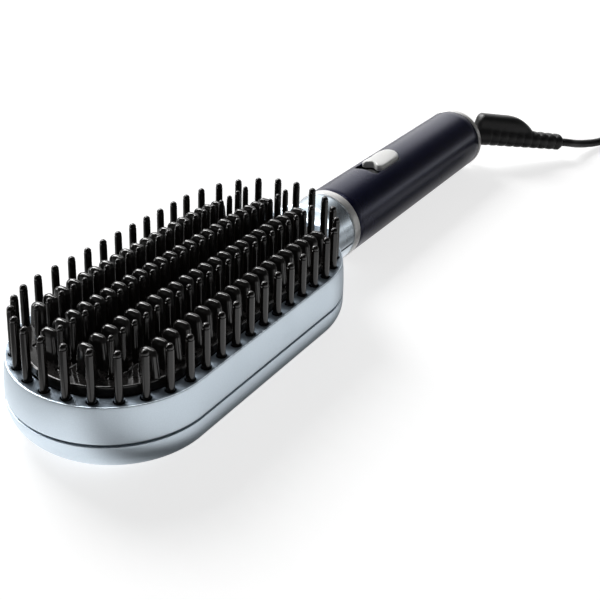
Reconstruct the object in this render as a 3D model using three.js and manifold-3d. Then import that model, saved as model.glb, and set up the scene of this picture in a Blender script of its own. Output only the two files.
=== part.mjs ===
// Hair straightening brush lying with its bristles up
// Millimetres, +Z up, +Y from the tip of the head to the cord
import * as THREE from 'three';
import Module from 'manifold-3d';
import { mergeVertices } from 'three/addons/utils/BufferGeometryUtils.js';

const wasm = await Module();
wasm.setup();
const { Manifold } = wasm;

// Fits between pieces
const GAP = 0.3;
const RUN = 0.3;

// Head outline: a stadium, two half circles joined by straight sides
const HEAD_HALF = 35.85;
const WALL_R = 33;
const HEAD_END = HEAD_HALF + WALL_R;
const ARC_STEPS = 10;
const RIM_CHAMFER = 0.4;
const WALL = 1.6;
const DECK = 2;
const RIM_Z = 23.6;
const PARTING_Z = 11.6;
const SEAM = 0.6;
const BOTTOM_ROUND = 8.5;

// Handle
const HANDLE_R = 14;
const RING_PROUD = 0.1;
const AXIS_Z = HANDLE_R + RING_PROUD;
const SLEEVE_WALL = 1.8;
const COLLAR_LONG = 22.35;
const HANDLE_LONG = 118.1;
const NECK_Y = HEAD_END + COLLAR_LONG;
const END_Y = NECK_Y + HANDLE_LONG;
const RING_WIDTH = 4;
const END_RING_WIDTH = 2.5;
const COLLAR_R = HANDLE_R - 0.3;
const COLLAR_WALL = 2;
const COLLAR_BORE = COLLAR_R - COLLAR_WALL;
const COLLAR_FRONT = HEAD_END - 8.85;
const COLLAR_FULL_Y = NECK_Y - 14.7;
const BORE_FRONT = COLLAR_FULL_Y + 2.5;
const LOCK_Y = BORE_FRONT + 4;
const PASSAGE_R = 8;
const PASSAGE_Z = AXIS_Z - 2.1;
const END_RING_WALL = 1.2;

// Outer pins
const PIN_INSET = 3.5;
const PIN_RING_R = WALL_R - PIN_INSET;
const PIN_COUNT = 44;
const PIN_BASE_R = 1.35;
const PIN_TOP_R = 1.12;
const PIN_HOLE_R = PIN_BASE_R + 0.35;
const PIN_SIDES = 5;
const HOLE_SIDES = 6;
const CROWN = 0.0032;
const CROWN_Z = RIM_Z + 17.36;

// Heating plate and its fins
const PLATE_R = PIN_RING_R - 2.5;
const PLATE_TOP = RIM_Z + 3;
const PLATE_WEB = RIM_Z - 0.5;
const PLATE_FOOT = RIM_Z - 8.6;
const PLATE_WALL = 2;
const FLANGE_R = PLATE_R + 2.5;
const FLANGE_TOP = RIM_Z - 4.6;
const FLANGE = 2;
const FIN_WIDE = 5.2;
const FIN_EDGE = 3.25;
const FIN_ROW = (PLATE_R - FIN_EDGE - FIN_WIDE / 2) / 1.5;
const FIN_PITCH = 5.03;
const FIN_THICK = 2.8;
const FIN_CROWN_Z = RIM_Z + 13.84;
const INNER_FINS = 23;
const OUTER_FINS = 19;
const FIN_END_DROP = [1.2, 0.7, 0.3];

// Cool pins between the rows of fins
const COOL_CENTRE_PINS = 24;
const COOL_SIDE_PINS = 22;
const COOL_DROP = 0.35;
const COOL_BASE_R = 1.15;
const COOL_TOP_R = 0.95;
const BAR_HALF_WIDTH = 1.4;
const BAR_TOP = PLATE_TOP - 0.2;
const BAR_OVER = 1.3;
const CARRIER_TOP = PLATE_FOOT - GAP;
const CARRIER = 1.5;

// Heaters
const HEATER_X = FIN_ROW / 2;
const HEATER_WIDE = 8;
const HEATER_HALF = 38;
const HEATER_THICK = 2.8;
const CLAMP_THICK = 0.9;
const BOSS_R = 3;
const BOSS_X = PLATE_R - PLATE_WALL - BOSS_R - 1.7;
const BOSS_Y = 30;
const SCREW_R = 1.3;
const SINK_DEPTH = 10;
const FUSE = { y: -5, r: 1.6, length: 10 };
const SENSOR = { y: 4, r: 1.3, length: 5 };

// Switch
const SLIDER_HALF = 4.9;
const SLIDER_LONG = 18.9;
const SLIDER_CORNER = 1.8;
const SLIDER_PROUD = 1.1;
const SLIDER_GAP = 0.35;
const TRAVEL = 5.2;
const WINDOW_FRONT = NECK_Y + 27.4;
const SLIDER_FRONT = WINDOW_FRONT + TRAVEL + 0.5;
const SLIDER_REAR = SLIDER_FRONT + SLIDER_LONG;
const WINDOW_REAR = SLIDER_REAR + SLIDER_GAP;
const LEVER_Y = SLIDER_FRONT + 8.2;

// Inner frame and board
const FRAME_R = HANDLE_R - SLEEVE_WALL - GAP;
const FRAME_BORE = FRAME_R - 2;
const FRAME_REAR = END_Y - 3.8;
const BOARD_FRONT = NECK_Y + 6.8;
const BOARD_REAR = END_Y - 18;
const BOARD_HALF = FRAME_BORE - 1.6;
const BOARD_TOP = AXIS_Z - 2;
const BOARD = 1.6;
const SUPPORT_Y = [BOARD_FRONT + 5, BOARD_REAR - 6];
const CAPACITOR = [11, 15, 7.8];
const CAPACITOR_Y = LEVER_Y + 19;
const TRIAC = [9.6, 4.4, 8.7];
const TRIAC_Y = LEVER_Y - 18.2;

// Swivel
const BUSH_R = 5;
const SHAFT_R = 3.4;
const SHAFT_FRONT = END_Y - 13.4;
const DISC_FRONT = END_Y + 0.7;
const DISC = 3;
const DISC_R = 8;
const STUB_R = 3;
const STUB_REAR = END_Y + 7.5;

// Cord guard: its own axis starts above the handle's axis and runs out to the side
const GUARD_START = new THREE.Vector3(-0.4, 208, 17.3);
const GUARD_END = new THREE.Vector3(39.2, 250, 8.3);
const GUARD_ROOT_R = 5;
const GUARD_TIP_R = 3.75;
const GROOVE_START = 19.1;
const GROOVE = 0.55;
const RIB_PITCH = 4.36;

// Hood of the guard: distance along the guard's axis, height above it and half width
const HOOD = [
  [12, 7.2, 2.6],
  [13, 9.3, 3.5],
  [14.8, 10.8, 4.1],
  [27, 10.8, 4.1],
  [30.5, 10.4, 4.1],
  [33.7, 9.6, 4.1],
  [37, 8.1, 3.9],
  [39.7, 6.5, 3.4],
  [41.3, 4.9, 2.8],
  [42.8, 3.4, 2],
];
const HOOD_SHOULDER = 2.2;
const HOOD_FOOT = 1;

// Cord, coil and plug
const CORD_R = 1.95;
const TURN_STEP = 2 * CORD_R + 0.5;
const COIL_X = 85;
const COIL_Y = 283.4;
const COIL_OUT = 29.77;
const COIL_TURNS = 11.43;
const COIL_LAYERS = 4;
const LOOP_STEPS = 18;
const LOOP_SIDES = 5;
const COIL_START = (154.5 * Math.PI) / 180;
const TIE = 0.6;
const TIE_GAP = 0.35;
const TIE_WIDE = 7;
const COIL_Z = TIE + TIE_GAP + CORD_R;
const PLUG_X = 100;
const PLUG_GUARD_Y = 236;
const PLUG_GUARD = 22;
const PLUG_THICK = 13.7;
const PLUG_WIDE = 35.2;
const PLUG_LONG = 35.5;
const PLUG_PIN_R = 2;
const PLUG_PIN_LONG = 19;
const PLUG_PIN_SPREAD = 18.6;
const LEAD_BENDS = [
  [5, 10.2, -2.9],
  [8, 18.6, -4.7],
  [11, 26.6, -5.7],
];
const TAIL_BENDS = [
  [13, 28, 13.6],
  [7.5, 17.5, 9.8],
  [2, 9.5, 7.4],
];

// The frame's origin is the middle of the brush
const Y_MIDDLE = (STUB_REAR - HEAD_END) / 2;

function solid(geometry) {
  geometry.deleteAttribute('normal');
  if (geometry.attributes.uv) {
    geometry.deleteAttribute('uv');
  }
  const merged = mergeVertices(geometry, 1e-4);
  const points = merged.attributes.position.array;
  const index = merged.index.array;
  const kept = [];
  let volume = 0;
  const at = (i) => new THREE.Vector3(points[3 * i], points[3 * i + 1], points[3 * i + 2]);
  for (let i = 0; i < index.length; i += 3) {
    const [a, b, c] = [index[i], index[i + 1], index[i + 2]];
    if (a !== b && b !== c && c !== a) {
      kept.push(a, b, c);
      volume += at(a).dot(at(b).cross(at(c)));
    }
  }
  const triVerts = new Uint32Array(volume < 0 ? kept.reverse() : kept);
  return new Manifold(new wasm.Mesh({ numProp: 3, vertProperties: new Float32Array(points), triVerts }));
}

function join(pieces) {
  return Manifold.union(pieces);
}

function box(x0, x1, y0, y1, z0, z1) {
  const g = new THREE.BoxGeometry(x1 - x0, y1 - y0, z1 - z0);
  g.translate((x0 + x1) / 2, (y0 + y1) / 2, (z0 + z1) / 2);
  return solid(g);
}

// Far enough to pass every face of the brush
const REACH = 500;

function spaceBelow(z) {
  return box(-REACH, REACH, -REACH, REACH, z - REACH, z);
}

function spaceAbove(z) {
  return box(-REACH, REACH, -REACH, REACH, z, z + REACH);
}

function rodY(r, y0, y1, sides = 32, x = 0, z = AXIS_Z) {
  const g = new THREE.CylinderGeometry(r, r, y1 - y0, sides);
  g.translate(x, (y0 + y1) / 2, z);
  return solid(g);
}

function rodZ(r, z0, z1, sides, x, y) {
  const g = new THREE.CylinderGeometry(r, r, z1 - z0, sides);
  g.rotateX(Math.PI / 2);
  g.translate(x, y, (z0 + z1) / 2);
  return solid(g);
}

function tubeY(outer, inner, y0, y1, sides = 32) {
  return rodY(outer, y0, y1, sides).subtract(rodY(inner, y0 - 1, y1 + 1, sides));
}

function stadiumShape(r, half) {
  const shape = new THREE.Shape();
  shape.absarc(0, half, r, 0, Math.PI, false);
  shape.absarc(0, -half, r, Math.PI, 2 * Math.PI, false);
  shape.closePath();
  return shape;
}

function stadium(r, z0, z1, half = HEAD_HALF) {
  const options = { depth: z1 - z0, bevelEnabled: false, curveSegments: ARC_STEPS };
  const g = new THREE.ExtrudeGeometry(stadiumShape(r, half), options);
  g.translate(0, 0, z0);
  return solid(g);
}

function roundedStadium(r, z0, z1, round, segments) {
  const g = new THREE.ExtrudeGeometry(stadiumShape(r, HEAD_HALF), {
    depth: z1 - z0 - 2 * round,
    bevelThickness: round,
    bevelSize: round,
    bevelOffset: -round,
    bevelSegments: segments,
    curveSegments: ARC_STEPS,
  });
  g.translate(0, 0, z0 + round);
  return solid(g);
}

function prismX(points, x0, x1) {
  const shape = new THREE.Shape(points.map(([y, z]) => new THREE.Vector2(y, z)));
  const g = new THREE.ExtrudeGeometry(shape, { depth: x1 - x0, bevelEnabled: false });
  g.rotateX(Math.PI / 2);
  g.rotateZ(Math.PI / 2);
  g.translate(x0, 0, 0);
  return solid(g);
}

function lathe(profile, sides) {
  return new THREE.LatheGeometry(profile.map(([r, h]) => new THREE.Vector2(r, h)), sides);
}

function ngon(r, sides) {
  const shape = new THREE.Shape();
  for (let i = 0; i < sides; i += 1) {
    const a = (2 * Math.PI * i) / sides;
    shape[i ? 'lineTo' : 'moveTo'](r * Math.cos(a), r * Math.sin(a));
  }
  shape.closePath();
  return shape;
}

function tube(curve, r, sides, steps) {
  return solid(new THREE.ExtrudeGeometry(ngon(r, sides), { steps, bevelEnabled: false, extrudePath: curve }));
}

function smooth(points) {
  const places = points.map(([x, y, z]) => new THREE.Vector3(x, y, z));
  return new THREE.CatmullRomCurve3(places, false, 'centripetal');
}

// A pin standing up from z0, with a rounded tip
function pin(x, y, z0, top, baseR, topR) {
  const g = lathe([[0, z0], [baseR, z0], [topR, top - 0.9], [0, top]], PIN_SIDES);
  g.rotateX(Math.PI / 2);
  g.translate(x, y, 0);
  return solid(g);
}

// Even places round the stadium, the first at the middle of the head's tip
function ringPlaces(r, count) {
  const arc = Math.PI * r;
  const straight = 2 * HEAD_HALF;
  const total = 2 * (arc + straight);
  const places = [];
  for (let i = 0; i < count; i += 1) {
    let s = (i * total) / count + arc / 2;
    s %= total;
    if (s < arc) {
      const a = Math.PI + s / r;
      places.push([r * Math.cos(a), -HEAD_HALF + r * Math.sin(a)]);
    } else if (s < arc + straight) {
      places.push([r, -HEAD_HALF + s - arc]);
    } else if (s < 2 * arc + straight) {
      const a = (s - arc - straight) / r;
      places.push([r * Math.cos(a), HEAD_HALF + r * Math.sin(a)]);
    } else {
      places.push([-r, HEAD_HALF - (s - 2 * arc - straight)]);
    }
  }
  return places;
}

const pinPlaces = ringPlaces(PIN_RING_R, PIN_COUNT);
const bossPlaces = [[-BOSS_X, -BOSS_Y], [BOSS_X, -BOSS_Y], [-BOSS_X, BOSS_Y], [BOSS_X, BOSS_Y]];
const crownAt = (x) => CROWN_Z - CROWN * x * x;

function collarSolid() {
  const roof = AXIS_Z + COLLAR_R;
  const deckEdge = HEAD_END - RIM_CHAMFER - 0.5;
  const slope = [
    [COLLAR_FRONT - 5, RIM_Z - 0.2],
    [deckEdge, RIM_Z - 0.2],
    [COLLAR_FULL_Y - 2.5, roof - 0.8],
    [COLLAR_FULL_Y, roof + 0.2],
    [COLLAR_FULL_Y, roof + 10],
    [COLLAR_FRONT - 5, roof + 10],
  ];
  const above = prismX(slope, -20, 20);
  return rodY(COLLAR_R, COLLAR_FRONT, NECK_Y - RING_WIDTH - GAP).subtract(above);
}

function neckBores() {
  return join([
    rodY(COLLAR_BORE, BORE_FRONT, NECK_Y),
    rodY(PASSAGE_R, COLLAR_FRONT - 5, BORE_FRONT + 1, 24, 0, PASSAGE_Z),
  ]);
}

function headFrame() {
  const floor = PARTING_Z + SEAM / 2;
  const shell = roundedStadium(WALL_R, floor - 3, RIM_Z, RIM_CHAMFER, 1);
  const cavity = stadium(WALL_R - WALL, floor - 4, RIM_Z - DECK);
  const opening = stadium(PLATE_R + GAP, RIM_Z - DECK - 1, RIM_Z + 1);
  const pinHole = ([x, y]) => rodZ(PIN_HOLE_R, RIM_Z - DECK - 1, RIM_Z + 1, HOLE_SIDES, x, y);
  const holes = join(pinPlaces.map(pinHole));
  return join([shell, collarSolid()])
    .subtract(cavity)
    .subtract(opening)
    .subtract(holes)
    .subtract(neckBores())
    .subtract(spaceBelow(floor));
}

function rearCover() {
  const top = PARTING_Z - SEAM / 2;
  const shell = roundedStadium(WALL_R, 0, top + 20, BOTTOM_ROUND, 3);
  const cavity = roundedStadium(WALL_R - WALL, WALL, top + 20, BOTTOM_ROUND - WALL, 2);
  const posts = join(bossPlaces.map(([x, y]) => rodZ(4.4, 1, CARRIER_TOP - CARRIER - GAP, 10, x, y)));
  const sinks = join(bossPlaces.map(([x, y]) => rodZ(2.9, -1, SINK_DEPTH, 10, x, y)));
  const shanks = join(bossPlaces.map(([x, y]) => rodZ(SCREW_R + GAP, -1, 20, 8, x, y)));
  const lock = join([rodZ(3.1, -1, 2.6, 12, 0, LOCK_Y), rodZ(SCREW_R + GAP, -1, 8, 8, 0, LOCK_Y)]);
  return join([shell, collarSolid()])
    .subtract(cavity)
    .subtract(neckBores())
    .subtract(spaceAbove(top))
    .add(posts)
    .subtract(sinks)
    .subtract(shanks)
    .subtract(lock);
}

function seamRing() {
  const band = stadium(WALL_R - WALL - GAP, PARTING_Z - 2.5, PARTING_Z + 2.5);
  const inside = stadium(WALL_R - WALL - GAP - 1.3, PARTING_Z - 4, PARTING_Z + 4);
  return band.subtract(inside).subtract(box(-12, 12, 50, 80, 0, 30));
}

function outerBristles() {
  const top = RIM_Z - DECK - GAP;
  const band = stadium(WALL_R - WALL - GAP, top - 2, top).subtract(stadium(PLATE_R + GAP, top - 3, top + 1));
  const pins = pinPlaces.map(([x, y]) => pin(x, y, top - 1, crownAt(x), PIN_BASE_R, PIN_TOP_R));
  return join([band, ...pins]);
}

function fin(x, y, top) {
  const half = FIN_WIDE / 2;
  const z0 = PLATE_TOP - 0.5;
  const shape = new THREE.Shape();
  shape.moveTo(-half, z0);
  shape.lineTo(half, z0);
  for (const [u, drop] of [[0.94, 1.5], [0.5, 0], [-0.5, 0], [-0.94, 1.5]]) {
    shape.lineTo(half * u, top - drop);
  }
  shape.closePath();
  const g = new THREE.ExtrudeGeometry(shape, { depth: FIN_THICK, bevelEnabled: false });
  g.rotateX(Math.PI / 2);
  g.translate(x, y + FIN_THICK / 2, 0);
  return solid(g);
}

function fins() {
  const all = [];
  for (const [row, count] of [[-1.5, OUTER_FINS], [-0.5, INNER_FINS], [0.5, INNER_FINS], [1.5, OUTER_FINS]]) {
    const x = row * FIN_ROW;
    for (let i = 0; i < count; i += 1) {
      const fromEnd = Math.min(i, count - 1 - i);
      const drop = FIN_END_DROP[fromEnd] ?? 0;
      all.push(fin(x, (i - (count - 1) / 2) * FIN_PITCH, FIN_CROWN_Z - CROWN * x * x - drop));
    }
  }
  return all;
}

function coolRows() {
  return [[-FIN_ROW, COOL_SIDE_PINS], [0, COOL_CENTRE_PINS], [FIN_ROW, COOL_SIDE_PINS]];
}

function barHalf(count) {
  return ((count - 1) / 2) * FIN_PITCH + BAR_OVER;
}

function heatingPlate() {
  const body = stadium(PLATE_R, PLATE_FOOT, PLATE_TOP);
  const pocket = stadium(PLATE_R - PLATE_WALL, PLATE_FOOT - 1, PLATE_WEB);
  const flange = stadium(FLANGE_R, FLANGE_TOP - FLANGE, FLANGE_TOP).subtract(stadium(PLATE_R - 1, 0, 60));
  const bosses = bossPlaces.map(([x, y]) => rodZ(BOSS_R, PLATE_FOOT, PLATE_WEB + 0.2, 12, x, y));
  const holes = bossPlaces.map(([x, y]) => rodZ(SCREW_R + GAP, PLATE_FOOT - 1, PLATE_WEB - 1.6, 8, x, y));
  const slots = coolRows().map(([x, count]) => {
    const wide = BAR_HALF_WIDTH + GAP;
    const long = barHalf(count) + GAP;
    return box(x - wide, x + wide, -long, long, 0, 60);
  });
  return join([join([body, flange]).subtract(pocket), ...bosses, ...fins()])
    .subtract(join([...holes, ...slots]));
}

function coolPins() {
  const plate = stadium(PLATE_R + 1.4, CARRIER_TOP - CARRIER, CARRIER_TOP);
  const pieces = [plate];
  for (const [x, count] of coolRows()) {
    const long = barHalf(count);
    pieces.push(box(x - BAR_HALF_WIDTH, x + BAR_HALF_WIDTH, -long, long, CARRIER_TOP - 0.5, BAR_TOP));
    for (let i = 0; i < count; i += 1) {
      const y = (i - (count - 1) / 2) * FIN_PITCH;
      pieces.push(pin(x, y, BAR_TOP - 0.5, crownAt(x) - COOL_DROP, COOL_BASE_R, COOL_TOP_R));
    }
  }
  const pressTop = PLATE_WEB - 2 * GAP - HEATER_THICK - CLAMP_THICK - GAP;
  for (const x of [-HEATER_X, HEATER_X]) {
    for (const y of [-22, 22]) {
      pieces.push(box(x - 3, x + 3, y - 3, y + 3, CARRIER_TOP - 0.5, pressTop));
    }
  }
  const holes = bossPlaces.map(([x, y]) => rodZ(SCREW_R + GAP, 0, 60, 8, x, y));
  const windows = [-HEATER_X, HEATER_X].map((x) => box(x - 2.5, x + 2.5, 44, 53, 0, CARRIER_TOP + 0.5));
  return join(pieces).subtract(join([...holes, ...windows]));
}

function heater(side) {
  const x = side * HEATER_X;
  const top = PLATE_WEB - GAP;
  return box(x - HEATER_WIDE / 2, x + HEATER_WIDE / 2, -HEATER_HALF, HEATER_HALF, top - HEATER_THICK, top);
}

function heaterClamp(side) {
  const x = side * HEATER_X;
  const top = PLATE_WEB - 2 * GAP - HEATER_THICK;
  return box(x - 4.6, x + 4.6, -HEATER_HALF - 2, HEATER_HALF + 2, top - CLAMP_THICK, top);
}

function onClamp(side, { y, r, length }) {
  const z = PLATE_WEB - 3 * GAP - HEATER_THICK - CLAMP_THICK - r;
  return rodY(r, y, y + length, 10, side * HEATER_X, z);
}

function headScrew([x, y]) {
  const seat = SINK_DEPTH - GAP;
  return join([rodZ(2.5, seat - 1.9, seat, 12, x, y), rodZ(SCREW_R, seat - 0.5, PLATE_WEB - 2, 8, x, y)]);
}

// Square in front with round corners, and a half circle at the rear
function switchOutline(half, front, rear, corner) {
  const shape = new THREE.Shape();
  shape.moveTo(-half + corner, front);
  shape.absarc(half - corner, front + corner, corner, -Math.PI / 2, 0, false);
  shape.absarc(0, rear - half, half, 0, Math.PI, false);
  shape.absarc(-half + corner, front + corner, corner, Math.PI, 1.5 * Math.PI, false);
  return shape;
}

function switchPrism(margin, front, rear, z0, z1) {
  const outline = switchOutline(SLIDER_HALF + margin, front, rear, SLIDER_CORNER + margin);
  const g = new THREE.ExtrudeGeometry(outline, { depth: z1 - z0, bevelEnabled: false, curveSegments: 6 });
  g.translate(0, 0, z0);
  return solid(g);
}

function handleSleeve() {
  const middle = AXIS_Z + HANDLE_R / 2;
  const window = switchPrism(SLIDER_GAP, WINDOW_FRONT, WINDOW_REAR, middle, AXIS_Z + 2 * HANDLE_R);
  const rear = END_Y - END_RING_WIDTH - GAP;
  return tubeY(HANDLE_R, HANDLE_R - SLEEVE_WALL, NECK_Y + GAP, rear).subtract(window);
}

function innerTube() {
  const long = rodY(FRAME_R, NECK_Y + GAP, FRAME_REAR, 20);
  const spigot = rodY(COLLAR_BORE - GAP, BORE_FRONT + 0.5, NECK_Y + 2, 20);
  return join([long, spigot]).subtract(rodY(FRAME_BORE, BORE_FRONT - 5, END_Y + 5, 20));
}

function innerFrameUpper() {
  const slot = box(-1.9, 1.9, LEVER_Y - 2 - TRAVEL - RUN, LEVER_Y + 2 + RUN, AXIS_Z, AXIS_Z + 2 * HANDLE_R);
  return innerTube().subtract(spaceBelow(AXIS_Z + GAP / 2)).subtract(slot);
}

function innerFrameLower() {
  const foot = AXIS_Z - FRAME_BORE;
  const supports = SUPPORT_Y.map((y) => box(-6, 6, y - 3, y + 3, foot, BOARD_TOP - BOARD - GAP));
  const holes = SUPPORT_Y.map((y) => rodZ(1 + GAP, AXIS_Z - 8, 40, 8, 0, y));
  const lock = rodZ(SCREW_R + GAP, -1, AXIS_Z - 8, 8, 0, LOCK_Y);
  const half = innerTube().subtract(spaceAbove(AXIS_Z - GAP / 2));
  return join([half, ...supports]).subtract(join([...holes, lock]));
}

function lockScrew() {
  return join([rodZ(2.8, 0.7, 2.6 - GAP, 12, 0, LOCK_Y), rodZ(SCREW_R, 2, 7, 8, 0, LOCK_Y)]);
}

function board() {
  const plate = box(-BOARD_HALF, BOARD_HALF, BOARD_FRONT, BOARD_REAR, BOARD_TOP - BOARD, BOARD_TOP);
  return plate.subtract(join(SUPPORT_Y.map((y) => rodZ(1 + GAP, 0, 40, 8, 0, y))));
}

function onBoard([wide, long, high], y) {
  return box(-wide / 2, wide / 2, y - long / 2, y + long / 2, BOARD_TOP + GAP, BOARD_TOP + GAP + high);
}

function boardScrew(y) {
  const screwHead = rodZ(2, BOARD_TOP + GAP, BOARD_TOP + GAP + 1.2, 10, 0, y);
  return join([screwHead, rodZ(1, AXIS_Z - 7.5, BOARD_TOP + 1, 8, 0, y)]);
}

// The cap's top follows the handle's round surface
function sliderCap() {
  const low = AXIS_Z + FRAME_R + GAP;
  const crown = rodY(HANDLE_R + SLIDER_PROUD, SLIDER_FRONT - 1, SLIDER_REAR + 1, 48);
  return switchPrism(0, SLIDER_FRONT, SLIDER_REAR, low, low + 6).intersect(crown);
}

function lever() {
  return box(-1.6, 1.6, LEVER_Y - 2, LEVER_Y + 2, AXIS_Z + 2.6, AXIS_Z + FRAME_R);
}

function switchBody() {
  return box(-4.5, 4.5, LEVER_Y - 11.5, LEVER_Y + 9.5, BOARD_TOP + GAP, AXIS_Z + 2.3);
}

function endCap() {
  const spigot = rodY(FRAME_BORE - GAP, END_Y - 11.3, END_Y - 1, 20);
  const flange = rodY(HANDLE_R - END_RING_WALL - GAP, END_Y - END_RING_WIDTH, END_Y + 0.3);
  return join([spigot, flange]).subtract(rodY(BUSH_R + GAP, END_Y - 20, END_Y + 5, 16));
}

function endRing() {
  return tubeY(HANDLE_R + RING_PROUD, HANDLE_R - END_RING_WALL, END_Y - END_RING_WIDTH, END_Y);
}

function swivelShaft() {
  const rod = join([
    rodY(SHAFT_R, SHAFT_FRONT, DISC_FRONT + 1, 16),
    rodY(DISC_R, DISC_FRONT, DISC_FRONT + DISC, 16),
    rodY(STUB_R, DISC_FRONT + 1, STUB_REAR, 16),
  ]);
  const groove = tubeY(SHAFT_R + 1, SHAFT_R - 0.6, END_Y - 12.7, END_Y - 11, 16);
  return rod.subtract(groove).subtract(rodY(1.7, SHAFT_FRONT - 1, STUB_REAR + 1, 8));
}

function guardFrame() {
  const along = GUARD_END.clone().sub(GUARD_START).normalize();
  const up = new THREE.Vector3(0, 0, 1).addScaledVector(along, -along.z).normalize();
  const side = new THREE.Vector3().crossVectors(along, up);
  return { along, up, side, length: GUARD_START.distanceTo(GUARD_END) };
}

// A tapered sleeve with grooves round it, turned about the guard's axis
function ribbedSleeve() {
  const { along, up, side, length } = guardFrame();
  const radius = (s) => GUARD_ROOT_R + ((GUARD_TIP_R - GUARD_ROOT_R) * s) / length;
  const profile = [[0, 0], [radius(0), 0]];
  for (let s = GROOVE_START; s + 2 < length; s += RIB_PITCH) {
    profile.push([radius(s - 1), s - 1], [radius(s) - GROOVE, s], [radius(s + 1), s + 1]);
  }
  profile.push([radius(length - 1.6), length - 1.6], [radius(length) - 1.2, length], [0, length]);
  const place = new THREE.Matrix4().makeBasis(side.clone().negate(), along, up);
  return solid(lathe(profile, 8).applyMatrix4(place.setPosition(GUARD_START)));
}

function guardHood() {
  const { along, up, side } = guardFrame();
  const points = [];
  for (const [s, height, half] of HOOD) {
    const section = [[0.55 * half, height], [half, height - HOOD_SHOULDER], [half, HOOD_FOOT]];
    for (const [x, z] of [...section, ...section.map(([x, z]) => [-x, z])]) {
      const at = GUARD_START.clone().addScaledVector(along, s);
      points.push(at.addScaledVector(side, x).addScaledVector(up, z).toArray());
    }
  }
  return Manifold.hull(points);
}

function cordGuard() {
  const root = DISC_FRONT + DISC + GAP;
  const knuckle = rodY(6.6, root - 1, root + 6, 20);
  const front = box(-30, 60, 180, root, -10, 60);
  const socket = rodY(STUB_R + GAP, root - 3, STUB_REAR + GAP, 16);
  return join([ribbedSleeve(), guardHood(), knuckle])
    .subtract(front)
    .subtract(socket);
}

function heaterLead(side) {
  const x = side * HEATER_X;
  return tube(smooth([
    [x, HEATER_HALF + 0.4, PLATE_WEB - 1.8],
    [x, 43, PLATE_WEB - 2.4],
    [x, 48.5, PLATE_WEB - 6],
    [x, 51, CARRIER_TOP - 3.4],
    [side * 5, HEAD_END - 8.8, AXIS_Z - 4.5],
    [side * 3.6, HEAD_END + 3.2, AXIS_Z - 4.7],
    [side * 3.6, NECK_Y - 5.2, AXIS_Z - 2.5],
    [side * 3.6, NECK_Y + 3.8, AXIS_Z - 0.9],
    [side * 3.6, NECK_Y + 12.8, BOARD_TOP + 1.1],
  ]), 0.8, 5, 18);
}

function sensorLead() {
  const z = PLATE_WEB - 3 * GAP - HEATER_THICK - CLAMP_THICK - 1.3;
  return tube(smooth([
    [HEATER_X, 9.4, z],
    [HEATER_X + 1.5, 13, z - 0.3],
    [HEATER_X + 3.9, 17.5, z - 0.4],
    [HEATER_X + 3.9, 27, z - 0.4],
    [HEATER_X + 1.5, 34, z],
    [HEATER_X - 1, 44, z - 0.6],
    [HEATER_X - 1.6, 48, CARRIER_TOP - 1],
    [HEATER_X - 3, 54, CARRIER_TOP - 4],
    [0, HEAD_END - 2.8, AXIS_Z - 5.1],
    [0, NECK_Y - 7.2, AXIS_Z - 1.1],
    [0, NECK_Y + 6.8, AXIS_Z - 0.1],
  ]), 0.5, 4, 18);
}

function supplyLead(side) {
  return tube(smooth([
    [side * 3.5, SHAFT_FRONT - 17, BOARD_TOP + 1.1],
    [side * 3.5, SHAFT_FRONT - 13, BOARD_TOP + 1.9],
    [side * 3.5, SHAFT_FRONT - 9, AXIS_Z + 1],
    [side * 3.5, SHAFT_FRONT - 3.9, AXIS_Z + 1],
  ]), 0.8, 5, 5);
}

function coilRoute() {
  const layerTurns = COIL_TURNS / COIL_LAYERS;
  const route = [];
  const steps = Math.round(COIL_TURNS * LOOP_STEPS);
  const half = 0.25;
  for (let i = 0; i <= steps; i += 1) {
    const turn = (COIL_TURNS * i) / steps;
    const wave = turn / layerTurns;
    const layer = Math.min(Math.floor(wave), COIL_LAYERS - 1);
    const share = wave - layer;
    const inward = layer % 2 === 0 ? share : 1 - share;
    const r = COIL_OUT - inward * layerTurns * TURN_STEP;
    let climb = 0;
    for (let k = 1; k < COIL_LAYERS; k += 1) {
      const u = THREE.MathUtils.clamp((turn - k * layerTurns + half) / (2 * half), 0, 1);
      climb += u * u * (3 - 2 * u);
    }
    const a = COIL_START - 2 * Math.PI * turn;
    const z = COIL_Z + climb * TURN_STEP;
    route.push(new THREE.Vector3(COIL_X + r * Math.cos(a), COIL_Y + r * Math.sin(a), z));
  }
  const first = new THREE.Vector3(Math.sin(COIL_START), -Math.cos(COIL_START), 0);
  const endAngle = COIL_START - 2 * Math.PI * COIL_TURNS;
  const last = new THREE.Vector3(Math.sin(endAngle), -Math.cos(endAngle), 0);
  const before = [1, 0.5].map((k) => route[0].clone().addScaledVector(first, -2 * CORD_R * k));
  const after = [0.5, 1].map((k) => route[route.length - 1].clone().addScaledVector(last, 2 * CORD_R * k));
  return { points: [...before, ...route, ...after], first, last };
}

class Polyline extends THREE.Curve {
  constructor(points) {
    super();
    this.points = points;
  }

  getPoint(t, target = new THREE.Vector3()) {
    const at = t * (this.points.length - 1);
    const i = Math.min(Math.floor(at), this.points.length - 2);
    return target.copy(this.points[i]).lerp(this.points[i + 1], at - i);
  }

  getPointAt(t, target) {
    return this.getPoint(t, target);
  }

  getTangentAt(t, target = new THREE.Vector3()) {
    const n = this.points.length - 1;
    const i = Math.round(t * n);
    return target.copy(this.points[Math.min(i + 1, n)]).sub(this.points[Math.max(i - 1, 0)]).normalize();
  }

  getTangent(t, target) {
    return this.getTangentAt(t, target);
  }
}

const coil = coilRoute();

function coilSolid() {
  return tube(new Polyline(coil.points), CORD_R, LOOP_SIDES, coil.points.length - 1);
}

// The least distance between points of the coil that are not neighbours along it, less the cord's thickness
function coilSelfGap(points) {
  let least = Infinity;
  for (let i = 0; i < points.length; i += 1) {
    for (let j = i + 8; j < points.length; j += 1) {
      least = Math.min(least, points[i].distanceTo(points[j]));
    }
  }
  return least - 2 * CORD_R;
}

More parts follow.
